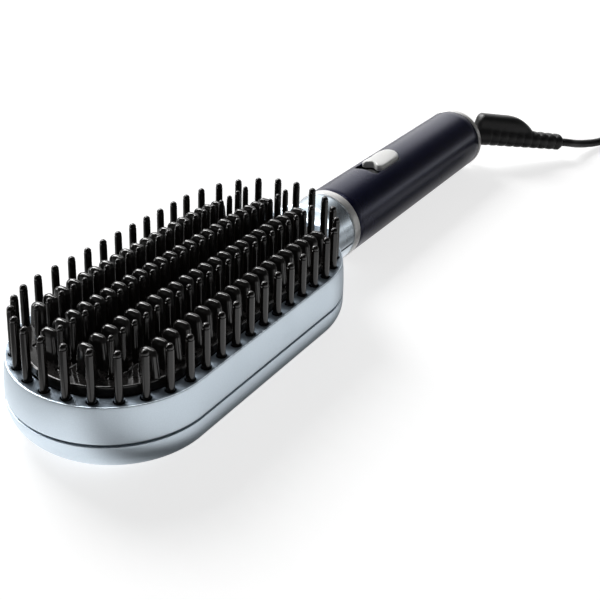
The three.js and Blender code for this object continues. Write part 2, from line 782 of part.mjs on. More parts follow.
function leadRoute() {
  const { along } = guardFrame();
  const start = GUARD_END.clone().addScaledVector(along, GAP);
  const straight = start.clone().addScaledVector(along, 2 * CORD_R);
  const end = coil.points[0].clone().addScaledVector(coil.first, -GAP);
  const before = end.clone().addScaledVector(coil.first, -2 * CORD_R);
  const bends = LEAD_BENDS.map(([x, y, z]) => GUARD_END.clone().add(new THREE.Vector3(x, y, z)));
  return [start, straight, ...bends, before, end];
}

function tailRoute() {
  const start = coil.points[coil.points.length - 1].clone().addScaledVector(coil.last, GAP);
  const straight = start.clone().addScaledVector(coil.last, 2 * CORD_R);
  const end = new THREE.Vector3(PLUG_X, PLUG_GUARD_Y + GAP, PLUG_THICK / 2);
  const before = end.clone().add(new THREE.Vector3(0, 2 * CORD_R, 0));
  const bends = TAIL_BENDS.map(([x, y, z]) => new THREE.Vector3(PLUG_X + x, PLUG_GUARD_Y + y, z));
  return [start, straight, ...bends, before, end];
}

function free(points, steps) {
  return tube(new THREE.CatmullRomCurve3(points, false, 'centripetal'), CORD_R, 8, steps);
}

function coilTie() {
  const layerTurns = COIL_TURNS / COIL_LAYERS;
  const inner = COIL_OUT - layerTurns * TURN_STEP - CORD_R - TIE_GAP;
  const outer = COIL_OUT + CORD_R + TIE_GAP + 0.2;
  const top = COIL_Z + (COIL_LAYERS - 1) * TURN_STEP + CORD_R + TIE_GAP;
  const shell = box(inner - TIE, outer + TIE, -TIE_WIDE / 2, TIE_WIDE / 2, 0, top + TIE);
  const hole = box(inner, outer, -TIE_WIDE, TIE_WIDE, TIE, top);
  return shell.subtract(hole).rotate([0, 0, 62]).translate([COIL_X, COIL_Y, 0]);
}

function plugBody() {
  const rear = PLUG_GUARD_Y - PLUG_GUARD - GAP;
  const front = rear - PLUG_LONG;
  const half = PLUG_WIDE / 2;
  const shape = new THREE.Shape();
  shape.moveTo(-half + 2, front);
  shape.lineTo(half - 2, front);
  shape.lineTo(half, front + 2);
  shape.lineTo(half - 1, front + 12);
  shape.quadraticCurveTo(half - 5, front + 24, 7, rear);
  shape.lineTo(-7, rear);
  shape.quadraticCurveTo(-half + 5, front + 24, -half + 1, front + 12);
  shape.lineTo(-half, front + 2);
  shape.closePath();
  const g = new THREE.ExtrudeGeometry(shape, {
    depth: PLUG_THICK - 4,
    bevelThickness: 2,
    bevelSize: 2,
    bevelOffset: -2,
    bevelSegments: 2,
    curveSegments: 6,
  });
  g.translate(PLUG_X, 0, 2);
  const pinHole = (s) => {
    const x = PLUG_X + (s * PLUG_PIN_SPREAD) / 2;
    return rodY(PLUG_PIN_R + GAP, front - 1, front + 9, 10, x, PLUG_THICK / 2);
  };
  return solid(g).subtract(join([-1, 1].map(pinHole)));
}

function plugPin(side) {
  const front = PLUG_GUARD_Y - PLUG_GUARD - GAP - PLUG_LONG;
  const x = PLUG_X + (side * PLUG_PIN_SPREAD) / 2;
  const long = PLUG_PIN_LONG + 8;
  const g = lathe([[0, 0], [PLUG_PIN_R, 0], [PLUG_PIN_R, long - 1], [PLUG_PIN_R - 0.8, long], [0, long]], 12);
  g.rotateX(Math.PI);
  g.translate(x, front + 8, PLUG_THICK / 2);
  return solid(g);
}

function plugGuard() {
  const profile = [[0, 0], [4.4, 0]];
  for (let i = 0; i < 5; i += 1) {
    const r = 4.3 - 0.25 * i;
    profile.push([r, 2.4 + 4 * i], [r - 0.7, 3.3 + 4 * i], [r - 0.1, 4.2 + 4 * i]);
  }
  profile.push([3.1, PLUG_GUARD], [0, PLUG_GUARD]);
  const g = lathe(profile, 8);
  g.translate(PLUG_X, PLUG_GUARD_Y - PLUG_GUARD, PLUG_THICK / 2);
  return solid(g);
}

const brush = new THREE.Group();
brush.name = 'hair_straightening_brush';

function add(name, body, material) {
  const moved = body.simplify(0.002).translate([0, -Y_MIDDLE, 0]);
  const m = moved.getMesh();
  const g = new THREE.BufferGeometry();
  g.setAttribute('position', new THREE.BufferAttribute(new Float32Array(m.vertProperties), 3));
  g.setIndex(new THREE.BufferAttribute(new Uint32Array(m.triVerts), 1));
  g.computeVertexNormals();
  const mesh = new THREE.Mesh(g, material);
  mesh.name = name;
  brush.add(mesh);
}

const material = (color, metalness, roughness) => () => (
  new THREE.MeshStandardMaterial({ color, metalness, roughness })
);
const satinSilver = material(0xb9c2cb, 0.6, 0.4);
const brightSilver = material(0xe2e4e6, 0.8, 0.25);
const navy = material(0x10121f, 0, 0.55);
const glossBlack = material(0x141312, 0, 0.2);
const coatedBlack = material(0x121110, 0.2, 0.25);
const blackRubber = material(0x1a1a1a, 0, 0.6);
const darkPlastic = material(0x202226, 0, 0.6);
const palePlastic = material(0xeeeeec, 0, 0.35);
const steel = material(0xb8bbbf, 0.9, 0.35);
const boardGreen = material(0x1f4a33, 0, 0.5);
const ceramic = material(0xe6e2d8, 0, 0.6);
const redLead = material(0x9a2a20, 0, 0.5);

add('head_frame', headFrame(), satinSilver());
add('rear_cover', rearCover(), satinSilver());
add('seam_ring', seamRing(), darkPlastic());
add('outer_bristle_carrier', outerBristles(), glossBlack());
add('heating_plate', heatingPlate(), coatedBlack());
add('cool_pin_carrier', coolPins(), glossBlack());
for (const [side, label] of [[-1, 'left'], [1, 'right']]) {
  add(`ptc_heater_${label}`, heater(side), ceramic());
  add(`heater_clamp_${label}`, heaterClamp(side), steel());
  add(`heater_lead_${label}`, heaterLead(side), redLead());
}
add('thermal_fuse', onClamp(-1, FUSE), steel());
add('temperature_sensor', onClamp(1, SENSOR), glossBlack());
add('sensor_lead', sensorLead(), darkPlastic());
bossPlaces.forEach((place, i) => add(`head_screw_${i + 1}`, headScrew(place), steel()));
add('neck_lock_screw', lockScrew(), steel());
add('neck_ring', tubeY(HANDLE_R + RING_PROUD, COLLAR_BORE, NECK_Y - RING_WIDTH, NECK_Y), brightSilver());
add('handle_sleeve', handleSleeve(), navy());
add('inner_frame_upper', innerFrameUpper(), darkPlastic());
add('inner_frame_lower', innerFrameLower(), darkPlastic());
add('control_board', board(), boardGreen());
SUPPORT_Y.forEach((y, i) => add(`board_screw_${i + 1}`, boardScrew(y), steel()));
add('slide_switch_body', switchBody(), darkPlastic());
add('switch_lever', lever(), darkPlastic());
add('switch_slider', sliderCap(), palePlastic());
add('film_capacitor', onBoard(CAPACITOR, CAPACITOR_Y), palePlastic());
add('triac', onBoard(TRIAC, TRIAC_Y), glossBlack());
for (const [side, label] of [[-1, 'left'], [1, 'right']]) {
  add(`supply_lead_${label}`, supplyLead(side), redLead());
}
add('slip_contact_block', rodY(FRAME_BORE - GAP, SHAFT_FRONT - 3.6, SHAFT_FRONT - 0.5, 20), darkPlastic());
add('end_ring', endRing(), brightSilver());
add('end_cap', endCap(), glossBlack());
add('swivel_bush', tubeY(BUSH_R, SHAFT_R + RUN, END_Y - 11, END_Y, 16), palePlastic());
add('swivel_shaft', swivelShaft(), darkPlastic());
add('swivel_retainer', tubeY(5.6, SHAFT_R - 0.3, END_Y - 12.4, END_Y - 11.3, 16), steel());
add('cord_guard', cordGuard(), blackRubber());
add('cord_lead', free(leadRoute(), 14), blackRubber());
add('cord_coil', coilSolid(), blackRubber());
add('cord_tail', free(tailRoute(), 12), blackRubber());
add('cord_tie', coilTie(), blackRubber());
add('plug_body', plugBody(), blackRubber());
add('plug_pin_left', plugPin(-1), steel());
add('plug_pin_right', plugPin(1), steel());
add('plug_guard', plugGuard(), blackRubber());

console.error(`least gap of the coil to itself ${coilSelfGap(coil.points).toFixed(2)} mm`);

export default brush;
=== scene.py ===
"""Hair straightening brush on a pale floor. The shapes are in millimetres, in the brush's own coordinates."""

import math

import bmesh
import bpy
import numpy as np
from mathutils import Matrix, Vector
from mathutils.geometry import delaunay_2d_cdt


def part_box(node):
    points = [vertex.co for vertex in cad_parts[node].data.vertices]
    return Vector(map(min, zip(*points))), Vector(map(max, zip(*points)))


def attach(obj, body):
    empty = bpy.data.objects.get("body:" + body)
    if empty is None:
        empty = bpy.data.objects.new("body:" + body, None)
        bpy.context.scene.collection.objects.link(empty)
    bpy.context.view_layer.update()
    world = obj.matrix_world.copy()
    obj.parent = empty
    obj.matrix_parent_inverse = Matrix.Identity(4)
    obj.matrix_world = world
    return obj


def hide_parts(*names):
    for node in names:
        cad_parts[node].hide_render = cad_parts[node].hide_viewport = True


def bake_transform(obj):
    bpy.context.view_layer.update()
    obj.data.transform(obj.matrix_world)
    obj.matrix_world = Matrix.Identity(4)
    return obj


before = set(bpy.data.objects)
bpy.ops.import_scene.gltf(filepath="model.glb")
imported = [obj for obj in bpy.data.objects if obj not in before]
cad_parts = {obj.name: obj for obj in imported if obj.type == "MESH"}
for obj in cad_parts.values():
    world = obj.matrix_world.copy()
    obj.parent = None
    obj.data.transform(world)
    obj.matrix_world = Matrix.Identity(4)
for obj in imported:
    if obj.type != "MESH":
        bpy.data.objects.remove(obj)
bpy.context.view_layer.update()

# Head shells: y runs from the head's middle towards the handle, z up from the floor
HEAD_HALF = 35.85
WALL_R = 33.0
WALL = 1.6
DECK = 2.0
RIM_Z = 23.6
RIM_ROUND = 0.35
WALL_LEAN = 0.6
LEAN_START = 12.5
WALL_LEVELS = (22.2, 20.6, 19.0, 17.4, 15.8, 14.2, 12.9)
PARTING_TOP = 12.0
PARTING_LOW = 11.2
PARTING_ROUND = 0.2
BOTTOM_ROUND = 8.5
TIP_ROUND = 11.2
OPENING_R = 27.3
OPENING_ROUND = 0.25
INNER_R = WALL_R - WALL
RIM_R = WALL_R - RIM_ROUND - WALL_LEAN
DECK_Z = RIM_Z - DECK
ARC_STEPS = 48
SIDE_STEPS = 24

# Screw posts in the lower shell
POST_AT = (20.3, 30.0)
POST_R = 4.4
POST_TOP = 12.9
SINK_R = 2.9
SINK_TOP = 10.0
SCREW_R = 1.6
POST_SIDES = 32

# Handle
AXIS_Z = 14.1
HANDLE_R = 14.0
SLEEVE_BORE = 12.3
SLEEVE_EDGE = ((13.8, 0), (13.94, 0.06), (HANDLE_R, 0.2))
RING_R = 14.1
NECK_Y = 91.2
END_Y = 209.3
RING_WIDTH = 4.0
END_RING_WIDTH = 2.5
RING_GAP = 0.3
SLEEVE_END = END_Y - END_RING_WIDTH - RING_GAP
HANDLE_SIDES = 144

# Collar, which grows out of the head's end
COLLAR_R = 13.7
COLLAR_START = 59.5
COLLAR_STEP = 0.35
COLLAR_ROWS = 78
COLLAR_COLUMNS = 120
COLLAR_END = NECK_Y - RING_WIDTH - RING_GAP
COLLAR_LIP = 1.3
TURN_START, TURN_LONG = 66.0, 11.0
SLAB_LOW = 0.4
NECK_FILLET = 6.4
NECK_LOW, NECK_LOW_ROUND = 0.1, 2.5
RISE_START, RISE_LONG = 69.4, 7.6
RISE, RISE_ROUND = 4.9, 0.9
LOCK_Y = 83.0
LOCK_R = 3.3
LOCK_SIDES = 40
LOCK_CELL = (3.7, 3.5)
LOCK_PROFILE = ((3.12, 0.9), (3.1, 2.6), (1.6, 2.6), (1.6, 6.0))

# Outer pins: the radii are those of a pin's foot, its shaft and its ball
PIN_RING_R = 29.5
PIN_COUNT = 44
PIN_RADII = (1.38, 1.26, 1.2)
HOLE_R = 1.72
HOLE_ROUND = 0.15
HOLE_SIDES = 28
CARRIER = (31.1, 27.3)
CARRIER_TOP = DECK_Z - 0.3
SHOULDER_ROUND = 0.3
BALL_SEAT = 1.28
CROWN = 0.0032
CROWN_Z = RIM_Z + 17.36

# Heating plate, its fins and the cool pins
PLATE_R = 27.0
PLATE_LOW = 15.0
PLATE_TOP = 26.6
PLATE_ROUND = 0.5
FIN_ROW = 14.1
FIN_PITCH = 5.03
FIN_ROWS = ((-1.5, 19), (-0.5, 23), (0.5, 23), (1.5, 19))
FIN_HALF = (3.1, 1.4)
FIN_FOOT = ((1.25, 1.16, -0.5), (1.21, 1.07, 0.25), (1.18, 1.0, 0.9))
FIN_HEAD = (0.985, 0.97)
FIN_DOME = 2.3
FIN_CROWN_Z = RIM_Z + 13.84
FIN_END_DROP = {0: 1.2, 1: 0.7, 2: 0.3}
BARS = ((-FIN_ROW, 22), (0, 24), (FIN_ROW, 22))
BAR_HALF = 1.4
BAR_PAST = 1.3
BAR_LOW = 14.0
BAR_TOP = 26.4
BAR_ROUND = 0.5
SLOT_GAP = 0.3
SLOT_ROUND = 0.6
SLOT_TOP_ROUND = 0.9
SLOT_EDGE = 0.12
COOL_RADII = (1.15, 1.02, 0.9)
COOL_DROP = 0.35
COOL_CARRIER = (28.4, 20.0, 13.2, 14.7)

# Switch slider and its window in the sleeve
SLIDER_HALF = 4.9
SLIDER_CORNER = 1.8
SLIDER_FRONT = 124.3
SLIDER_REAR = 143.2
SLIDER_GAP = 0.35
SLIDER_DIP = 1.7
SLIDER_EDGE = 0.95
WINDOW_FRONT = 118.6
WINDOW_DEEP = 1.8
WINDOW_BEVEL = 0.22
CAP_R = 15.1
CAP_LOW = AXIS_Z + 12.2
HOLLOW_DEEP = 0.35
HOLLOW_Y = 133.0
HOLLOW_SPREAD = (4.5, 5.5)

# The cell of the sleeve that holds the window, in steps round the handle and along it
CELL_STEP = math.radians(2.5)
CELL_SPREAD = 16
CELL_LOW, CELL_HIGH = 112.0, 150.0
CELL_ROWS = 32

# Cord guard: where its ribs and its hood start and end is told along its axis
GUARD_START = Vector((-0.4, 208.0, 17.3))
GUARD_END = Vector((39.2, 250.0, 8.3))
GUARD_SIDES = 72
GUARD_FIRST = 6.8
GUARD_STEP = 0.25
GUARD_ROOT_R = 5.0
GUARD_TIP_R = 3.75
GUARD_TIP = ((3.62, 1.3), (3.3, 0.8), (2.8, 0.25), (2.5, 0), (1.7, 0))
RIB_PITCH = 4.36
RIB_START = 21.3
RIB_DEEP = 0.45
HOOD_START = 10.8
HOOD_FULL = 27.0
HOOD_END = 42.8
HOOD_TOP = 10.8
HOOD_HALF = 3.4
HOOD_ROUND = 2.6
HOOD_DROP = 7.4
HEEL_DROP = 6.0
HEEL_LONG = 3
KNUCKLE_R = 6.6
KNUCKLE_HALF = 3.0
KNUCKLE_Y = END_Y + 4.0

# Cord, coil and plug
CORD_R = 1.95
CORD_SIDES = 14
TURN_STEP = 4.4
COIL_X, COIL_Y, COIL_Z = 85.0, 283.4, 2.9
COIL_OUT = 29.77
COIL_TURNS = 11.43
COIL_LAYERS = 4
LAYER_TURNS = COIL_TURNS / COIL_LAYERS
CLIMB_TURNS = 0.5
COIL_START = math.radians(154.5)
TIE_AT = math.radians(62)
TIE_CORNER = 1.6
PLUG_X = 100.0
PLUG_Z = 6.85
PLUG_HALF = 17.6
PLUG_LONG = 35.5
PLUG_FLAT = 10.7
PLUG_ROUND = 3.0
PLUG_GUARD_Y = 236.0
PLUG_REAR = PLUG_GUARD_Y - 22.3
PLUG_FRONT = PLUG_REAR - PLUG_LONG
LEAD_OVER = ((44.2, 260.2, 5.4), (47.2, 268.6, 3.6), (50.2, 276.6, 2.6))
TAIL_OVER = ((113, 264, 13.6), (107.5, 253.5, 9.8), (102, 245.5, 7.4),
             (PLUG_X, 240.2, PLUG_Z), (PLUG_X, 236.3, PLUG_Z))
PRONG_R = 2.0
PRONG_LONG = 27.0
PRONG_APART = 9.3

# Camera
CAMERA_AT = (185.049, -312.411, 193.424)
YAW, PITCH, ROLL = (math.radians(a) for a in (34.3763, 20.5432, 0.7255))
LENS = 63.095
SHIFT = (0.09, -0.28)

# Floor: its glow in what is glossy is painted light, a pool round the head that fades along directions, and a
# painted shade under and beside the head's right side
FLOOR = 0.40
FLOOR_HALF = 6000
FLOOR_GLOW = 0.76
PAINTED_POOL_FADES = (((-0.6, -0.8, 0), 0.125, 0.19, 1.2, 0.05),
               ((0, 1, 0), 0.01, 0.045, 1.0, 0.3),
               ((-1, 0, 0), 0.045, 0.075, 1.0, 0.55))
PAINTED_SHADE_UNDER_HEAD = ((0.012, 0.032, 0.95), (0.036, 0.047, 0.78))

# Light: a lobe of the dome has a direction, two angles and a brightness. A strip is a part of an arch
# over the brush, with an angle, a brightness and a size.
DOME = 0.05
LOBES = (((0, 0.8, -0.6), 60, 110, 0.20),
         ((0.62, 0.79, -0.12), 4, 20, 1.5),
         ((0.33, 0.79, 0.55), 10, 30, -0.20),
         ((-0.48, 0.80, 0.28), 14, 34, 1.25))
KEY_AT = Vector((-0.733, 0.229, 0.641)).normalized()
KEY_FAR = 3.3
KEY_BRIGHT = 18.2
KEY_SIZE = (1.4, 1.4)
ARCH_R = 3.0
ARCH_SIDE = Vector((0.825, 0.565, 0))
ARCH_TOP = Vector((-0.198, 0.288, 0.937))
STRIPS = {
    "strip_left": (155, 11.0, (2.67, 0.5)),
    "strip_top": (112, 22.0, (2.4, 0.5)),
    "strip_right": (78, 10.0, (1.3, 0.5)),
}

Y_MIDDLE = -HEAD_HALF - WALL_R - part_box("head_frame")[0].y * 1000
UP = Vector((0, 0, 1))


def metres(p):
    return (p[0] * 0.001, (p[1] - Y_MIDDLE) * 0.001, p[2] * 0.001)


# Shapes


class Shape:
    """Points and faces that grow piece by piece."""

    def __init__(self):
        self.points = []
        self.faces = []

    def loop(self, points):
        first = len(self.points)
        self.points += [tuple(float(c) for c in p) for p in points]
        return list(range(first, len(self.points)))

    def patch(self, points, faces):
        loop = self.loop(points)
        self.faces += [tuple(loop[i] for i in f) for f in faces]

    def strip(self, a, b):
        n = len(a)
        self.faces += [(a[i], a[(i + 1) % n], b[(i + 1) % n], b[i]) for i in range(n)]

    def cap(self, loop):
        self.faces.append(tuple(loop))

    def fan(self, loop, point):
        (tip,) = self.loop([point])
        n = len(loop)
        self.faces += [(loop[i], loop[(i + 1) % n], tip) for i in range(n)]

    def skin(self, rings):
        """Faces from ring to ring, open at both ends."""
        loops = [self.loop(ring) for ring in rings]
        for a, b in zip(loops, loops[1:]):
            self.strip(a, b)
        return loops

    def solid(self, rings):
        loops = self.skin(rings)
        self.cap(loops[0])
        self.cap(loops[-1])
        return self

    def copy_of(self, other, move):
        self.patch([(p[0] + move[0], p[1] + move[1], p[2] + move[2]) for p in other.points], other.faces)


def make(name, shape, material, body=None, replaced=None, sharp=40, weld=1e-6):
    """A piece from a shape. Without a body it is left unattached."""
    mesh = bpy.data.meshes.new(name)
    mesh.from_pydata([metres(p) for p in shape.points], [], shape.faces)
    bm = bmesh.new()
    bm.from_mesh(mesh)
    bmesh.ops.remove_doubles(bm, verts=bm.verts, dist=weld)
    bmesh.ops.recalc_face_normals(bm, faces=bm.faces)
    for face in bm.faces:
        face.smooth = True
    bm.to_mesh(mesh)
    bm.free()
    mesh.set_sharp_from_angle(angle=math.radians(sharp))
    obj = bpy.data.objects.new(name, mesh)
    bpy.context.scene.collection.objects.link(obj)
    mesh.materials.append(material)
    if body:
        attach(obj, body)
        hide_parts(replaced)
    return obj


def arc(centre, r, start, end, steps):
    """Points on an arc, in degrees."""
    turns = [math.radians(start + (end - start) * i / steps) for i in range(steps + 1)]
    return [(centre[0] + r * math.cos(a), centre[1] + r * math.sin(a)) for a in turns]


def circle(r, sides):
    turns = [2 * math.pi * k / sides for k in range(sides)]
    return [(r * math.cos(a), r * math.sin(a)) for a in turns]


def rounded_box(half_x, half_y, corner, steps):
    out = []
    for sx, sy, start in ((1, 1, 0), (-1, 1, 90), (-1, -1, 180), (1, -1, 270)):
        out += arc((sx * (half_x - corner), sy * (half_y - corner)), corner, start, start + 90, steps)
    return out


def quarter(steps):
    """Shares of a quarter round: how far it has come in, and how far up."""
    turns = [math.pi / 2 * k / steps for k in range(steps + 1)]
    return [(1 - math.cos(a), math.sin(a)) for a in turns]


def level(outline, z, at=(0, 0)):
    """A flat outline, moved to `at` and to the height z."""
    return [(at[0] + x, at[1] + y, z) for x, y in outline]


def turned(profile, sides, place):
    """Rings of a turned shape. place(x, y, h) gives the point at the height h on its axis."""
    return [[place(x, y, h) for x, y in circle(max(r, 1e-4), sides)] for r, h in profile]


def on_handle(x, z, y):
    return (x, y, AXIS_Z + z)


def stadium(r, z):
    """A loop round the head at the distance r from its middle line."""
    out = []
    for end in (1, -1):
        for i in range(ARC_STEPS + 1):
            a = math.pi * i / ARC_STEPS
            out.append((end * r * math.cos(a), end * (HEAD_HALF + r * math.sin(a)), z))
        for i in range(1, SIDE_STEPS):
            out.append((-end * r, end * (HEAD_HALF - 2 * HEAD_HALF * i / SIDE_STEPS), z))
    return out


def bottom_loop(r, angle):
    """A loop of the bottom's rounding, which is larger at the head's tip."""
    lean_back = math.radians(angle)
    out = []
    for x, y, _ in stadium(r, 0):
        tip = max(0.0, -(y + HEAD_HALF) / r)
        big = BOTTOM_ROUND + (TIP_ROUND - BOTTOM_ROUND) * tip
        k = (r - big * (1 - math.cos(lean_back))) / r
        cy = math.copysign(min(abs(y), HEAD_HALF), y)
        out.append((x * k, cy + (y - cy) * k, big - big * math.sin(lean_back)))
    return out


def around_head(shape, profile):
    """Skins a profile of distances and heights round the head."""
    shape.skin([stadium(r, z) for r, z in profile])


def hoop(shape, outer, inner, low, high):
    around_head(shape, [(outer, low), (outer, high), (inner, high), (inner, low), (outer, low)])


def bore(shape, profile, at, sides):
    shape.skin([level(circle(r, sides), z, at) for r, z in profile])


def ring_places(r, count):
    """Even places round the head, the first at the middle of its tip."""
    quarter_turn = math.pi * r / 2
    total = 4 * quarter_turn + 4 * HEAD_HALF
    out = []
    for i in range(count):
        s = (i * total / count + quarter_turn) % total
        side = 1 if s < total / 2 else -1
        s %= total / 2
        x, y = r, -HEAD_HALF + s - 2 * quarter_turn
        if s < 2 * quarter_turn:
            a = math.pi + s / r
            x, y = r * math.cos(a), -HEAD_HALF + r * math.sin(a)
        out.append((side * x, side * y))
    return out


def inside(c, loop):
    """Whether the point c lies inside a loop, given as an array."""
    if not (loop[:, 0].min() < c.x < loop[:, 0].max() and loop[:, 1].min() < c.y < loop[:, 1].max()):
        return False
    x0, y0 = loop[:, 0], loop[:, 1]
    x1, y1 = np.roll(x0, -1), np.roll(y0, -1)
    crosses = (y0 > c.y) != (y1 > c.y)
    with np.errstate(divide="ignore", invalid="ignore"):
        at = (x1 - x0) * (c.y - y0) / (y1 - y0) + x0
    return int((crosses & (c.x < at)).sum()) % 2 == 1


def clear_points(points, outline, within, clear):
    """The points on one side of an outline that keep clear of it."""
    loop = np.array(outline)
    return [p for p in points if inside(p, loop) == within
            and np.hypot(loop[:, 0] - p.x, loop[:, 1] - p.y).min() >= clear]


def fill(outer, holes, inner_points=()):
    """Triangles between an outer loop and the holes in it, all given in a plane."""
    points, edges = [], []
    for loop in [outer, *holes]:
        first = len(points)
        points += [Vector((p[0], p[1])) for p in loop]
        edges += [(first + i, first + (i + 1) % len(loop)) for i in range(len(loop))]
    points += list(inner_points)
    verts, _, faces, *_ = delaunay_2d_cdt(points, edges, [], 1, 1e-5)
    loops = [np.array([(p[0], p[1]) for p in h]) for h in holes]
    kept = []
    for f in faces:
        middle = sum((verts[i] for i in f), Vector((0, 0))) / len(f)
        if not any(inside(middle, loop) for loop in loops):
            kept.append(tuple(f))
    return verts, kept


def round_holes(r, sides, places):
    return [level(circle(r, sides), 0, at) for at in places]


def flat(shape, z, outer, holes):
    verts, faces = fill(outer, holes)
    shape.patch(level(verts, z), faces)


# Materials


def node(tree, kind, inputs, **settings):
    """A new node. Each input is a value, or an output that it is linked to."""
    new = tree.nodes.new("ShaderNode" + kind)
    for key, value in settings.items():
        setattr(new, key, value)
    for key, value in inputs.items():
        if isinstance(value, bpy.types.NodeSocket):
            tree.links.new(value, new.inputs[key])
        else:
            new.inputs[key].default_value = value
    return new


def maths(tree, operation, *values):
    return node(tree, "Math", dict(enumerate(values)), operation=operation).outputs[0]


def between(tree, value, start, end, low, high, interpolation="LINEAR"):
    inputs = {"Value": value, "From Min": start, "From Max": end, "To Min": low, "To Max": high}
    return node(tree, "MapRange", inputs, interpolation_type=interpolation).outputs["Result"]


def along(tree, place, direction):
    return node(tree, "VectorMath", {0: place, 1: direction}, operation="DOT_PRODUCT").outputs["Value"]


def noise(tree, scale, detail=2.0, rough=0.5, stretch=(1, 1, 1)):
    place = node(tree, "TexCoord", {}).outputs["Object"]
    place = node(tree, "Mapping", {"Vector": place, "Scale": stretch}).outputs["Vector"]
    inputs = {"Vector": place, "Scale": scale, "Detail": detail, "Roughness": rough}
    return node(tree, "TexNoise", inputs).outputs["Fac"]


def tint(tree, share, *colours):
    ramp = node(tree, "ValToRGB", {"Fac": share})
    for element, position, colour in zip(ramp.color_ramp.elements, (0.3, 0.7), colours):
        element.position = position
        element.color = (*colour, 1)
    return ramp.outputs["Color"]


def surface(name, dark, light, rough, grain, metallic=0.0, bump=0.0, bump_grain=None, stretch=(1, 1, 1),
            specular=0.5, sheen=(1, 1, 1), sleek=None):
    """A finish whose colour and roughness vary a little, with a fine grain.

    sleek gives two places along the brush, between which the roughness falls, and its last share.
    """
    m = bpy.data.materials.new(name)
    m.use_nodes = True
    tree = m.node_tree
    shader = tree.nodes["Principled BSDF"]
    colour = tint(tree, noise(tree, grain, 3.0, 0.6, stretch), dark, light)
    tree.links.new(colour, shader.inputs["Base Color"])
    roughness = between(tree, noise(tree, 60.0), 0.3, 0.7, *rough)
    if sleek:
        place = node(tree, "TexCoord", {}).outputs["Object"]
        share = between(tree, along(tree, place, (0, 1, 0)), sleek[0], sleek[1], 1.0, sleek[2])
        roughness = maths(tree, "MULTIPLY", roughness, share)
    tree.links.new(roughness, shader.inputs["Roughness"])
    shader.inputs["Metallic"].default_value = metallic
    shader.inputs["Specular IOR Level"].default_value = specular
    shader.inputs["Specular Tint"].default_value = (*sheen, 1)
    if bump:
        inputs = {"Strength": bump, "Distance": 0.0001, "Height": noise(tree, bump_grain or grain)}
        tree.links.new(node(tree, "Bump", inputs).outputs["Normal"], shader.inputs["Normal"])
    return m


satin_silver = surface("satin_silver", (0.59, 0.668, 0.737), (0.63, 0.712, 0.78), (0.44, 0.49), 2600,
                       metallic=0.85, bump=0.12, bump_grain=3000, sleek=(-0.010, 0.004, 0.6))
# A darker copy of the shells' silver for the rim's flat and its pin holes: painted shade.
shaded_deck_silver = surface("shaded_deck_silver", (0.125, 0.15, 0.178), (0.15, 0.18, 0.21), (0.36, 0.41), 2600,
                      metallic=0.9, bump=0.1, bump_grain=3000)
bright_trim = surface("bright_trim", (0.80, 0.79, 0.775), (0.86, 0.85, 0.835), (0.28, 0.36), 700,
                      metallic=0.3)
navy = surface("navy_shell", (0.0054, 0.0064, 0.029), (0.0068, 0.0080, 0.035), (0.23, 0.28), 1500,
               bump=0.2, bump_grain=2500, specular=0.34, sheen=(0.60, 0.64, 1.0))
pin_black = surface("gloss_black", (0.010, 0.008, 0.007), (0.014, 0.011, 0.010), (0.09, 0.13), 500,
                    specular=0.45)
plate_black = surface("coated_aluminium", (0.024, 0.0225, 0.022), (0.031, 0.029, 0.028), (0.07, 0.10), 700)
rubber = surface("black_rubber", (0.013, 0.013, 0.014), (0.018, 0.018, 0.019), (0.36, 0.44), 1200,
                 bump=0.2, bump_grain=1800)
dark_plastic = surface("dark_plastic", (0.013, 0.014, 0.017), (0.018, 0.019, 0.023), (0.5, 0.6), 800,
                       bump=0.2, bump_grain=1500)
pale_plastic = surface("pale_plastic", (0.89, 0.89, 0.875), (0.92, 0.92, 0.905), (0.32, 0.4), 400,
                       bump=0.1, bump_grain=1200)
steel = surface("steel", (0.46, 0.47, 0.49), (0.58, 0.59, 0.60), (0.26, 0.36), 900,
                metallic=1.0, bump=0.1, stretch=(1, 1, 8))
circuit_board = surface("circuit_board", (0.02, 0.065, 0.034), (0.035, 0.095, 0.05), (0.4, 0.5), 220)
ceramic = surface("ceramic", (0.72, 0.69, 0.62), (0.80, 0.77, 0.70), (0.55, 0.65), 500)
seam_black = surface("seam_black", (0.004, 0.004, 0.005), (0.006, 0.006, 0.007), (0.5, 0.6), 800,
                     specular=0.05)
lead_red = surface("lead_insulation", (0.28, 0.022, 0.014), (0.36, 0.034, 0.02), (0.4, 0.5), 600)

CAD_FINISHES = {
    seam_black: ["seam_ring"],
    ceramic: ["ptc_heater_left", "ptc_heater_right"],
    steel: ["heater_clamp_left", "heater_clamp_right", "thermal_fuse", "neck_lock_screw",
            "board_screw_1", "board_screw_2", "swivel_retainer", *(f"head_screw_{i}" for i in (1, 2, 3, 4))],
    lead_red: ["heater_lead_left", "heater_lead_right", "supply_lead_left", "supply_lead_right"],
    pin_black: ["temperature_sensor", "triac"],
    dark_plastic: ["sensor_lead", "inner_frame_upper", "inner_frame_lower", "slide_switch_body",
                   "switch_lever", "slip_contact_block"],
    pale_plastic: ["film_capacitor", "swivel_bush"],
    circuit_board: ["control_board"],
}
for material, names in CAD_FINISHES.items():
    for name in names:
        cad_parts[name].data.materials.clear()
        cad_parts[name].data.materials.append(material)


# Camera


def place_camera():
    data = bpy.data.cameras.new("camera")
    data.sensor_width = 36
    data.lens = LENS
    data.shift_x, data.shift_y = SHIFT
    data.clip_start = 0.02
    data.clip_end = 60
    cam = bpy.data.objects.new("camera", data)
    ahead = Vector((-math.sin(YAW) * math.cos(PITCH), math.cos(YAW) * math.cos(PITCH), -math.sin(PITCH)))
    right = ahead.cross(UP).normalized()
    up = right.cross(ahead)
    tilted = right * math.cos(ROLL) + up * math.sin(ROLL)
    up = up * math.cos(ROLL) - right * math.sin(ROLL)
    turn = Matrix((tilted, up, -ahead)).transposed()
    cam.matrix_world = Matrix.Translation(Vector(CAMERA_AT) * 0.001) @ turn.to_4x4()
    bpy.context.scene.collection.objects.link(cam)
    bpy.context.scene.camera = cam


# Cord


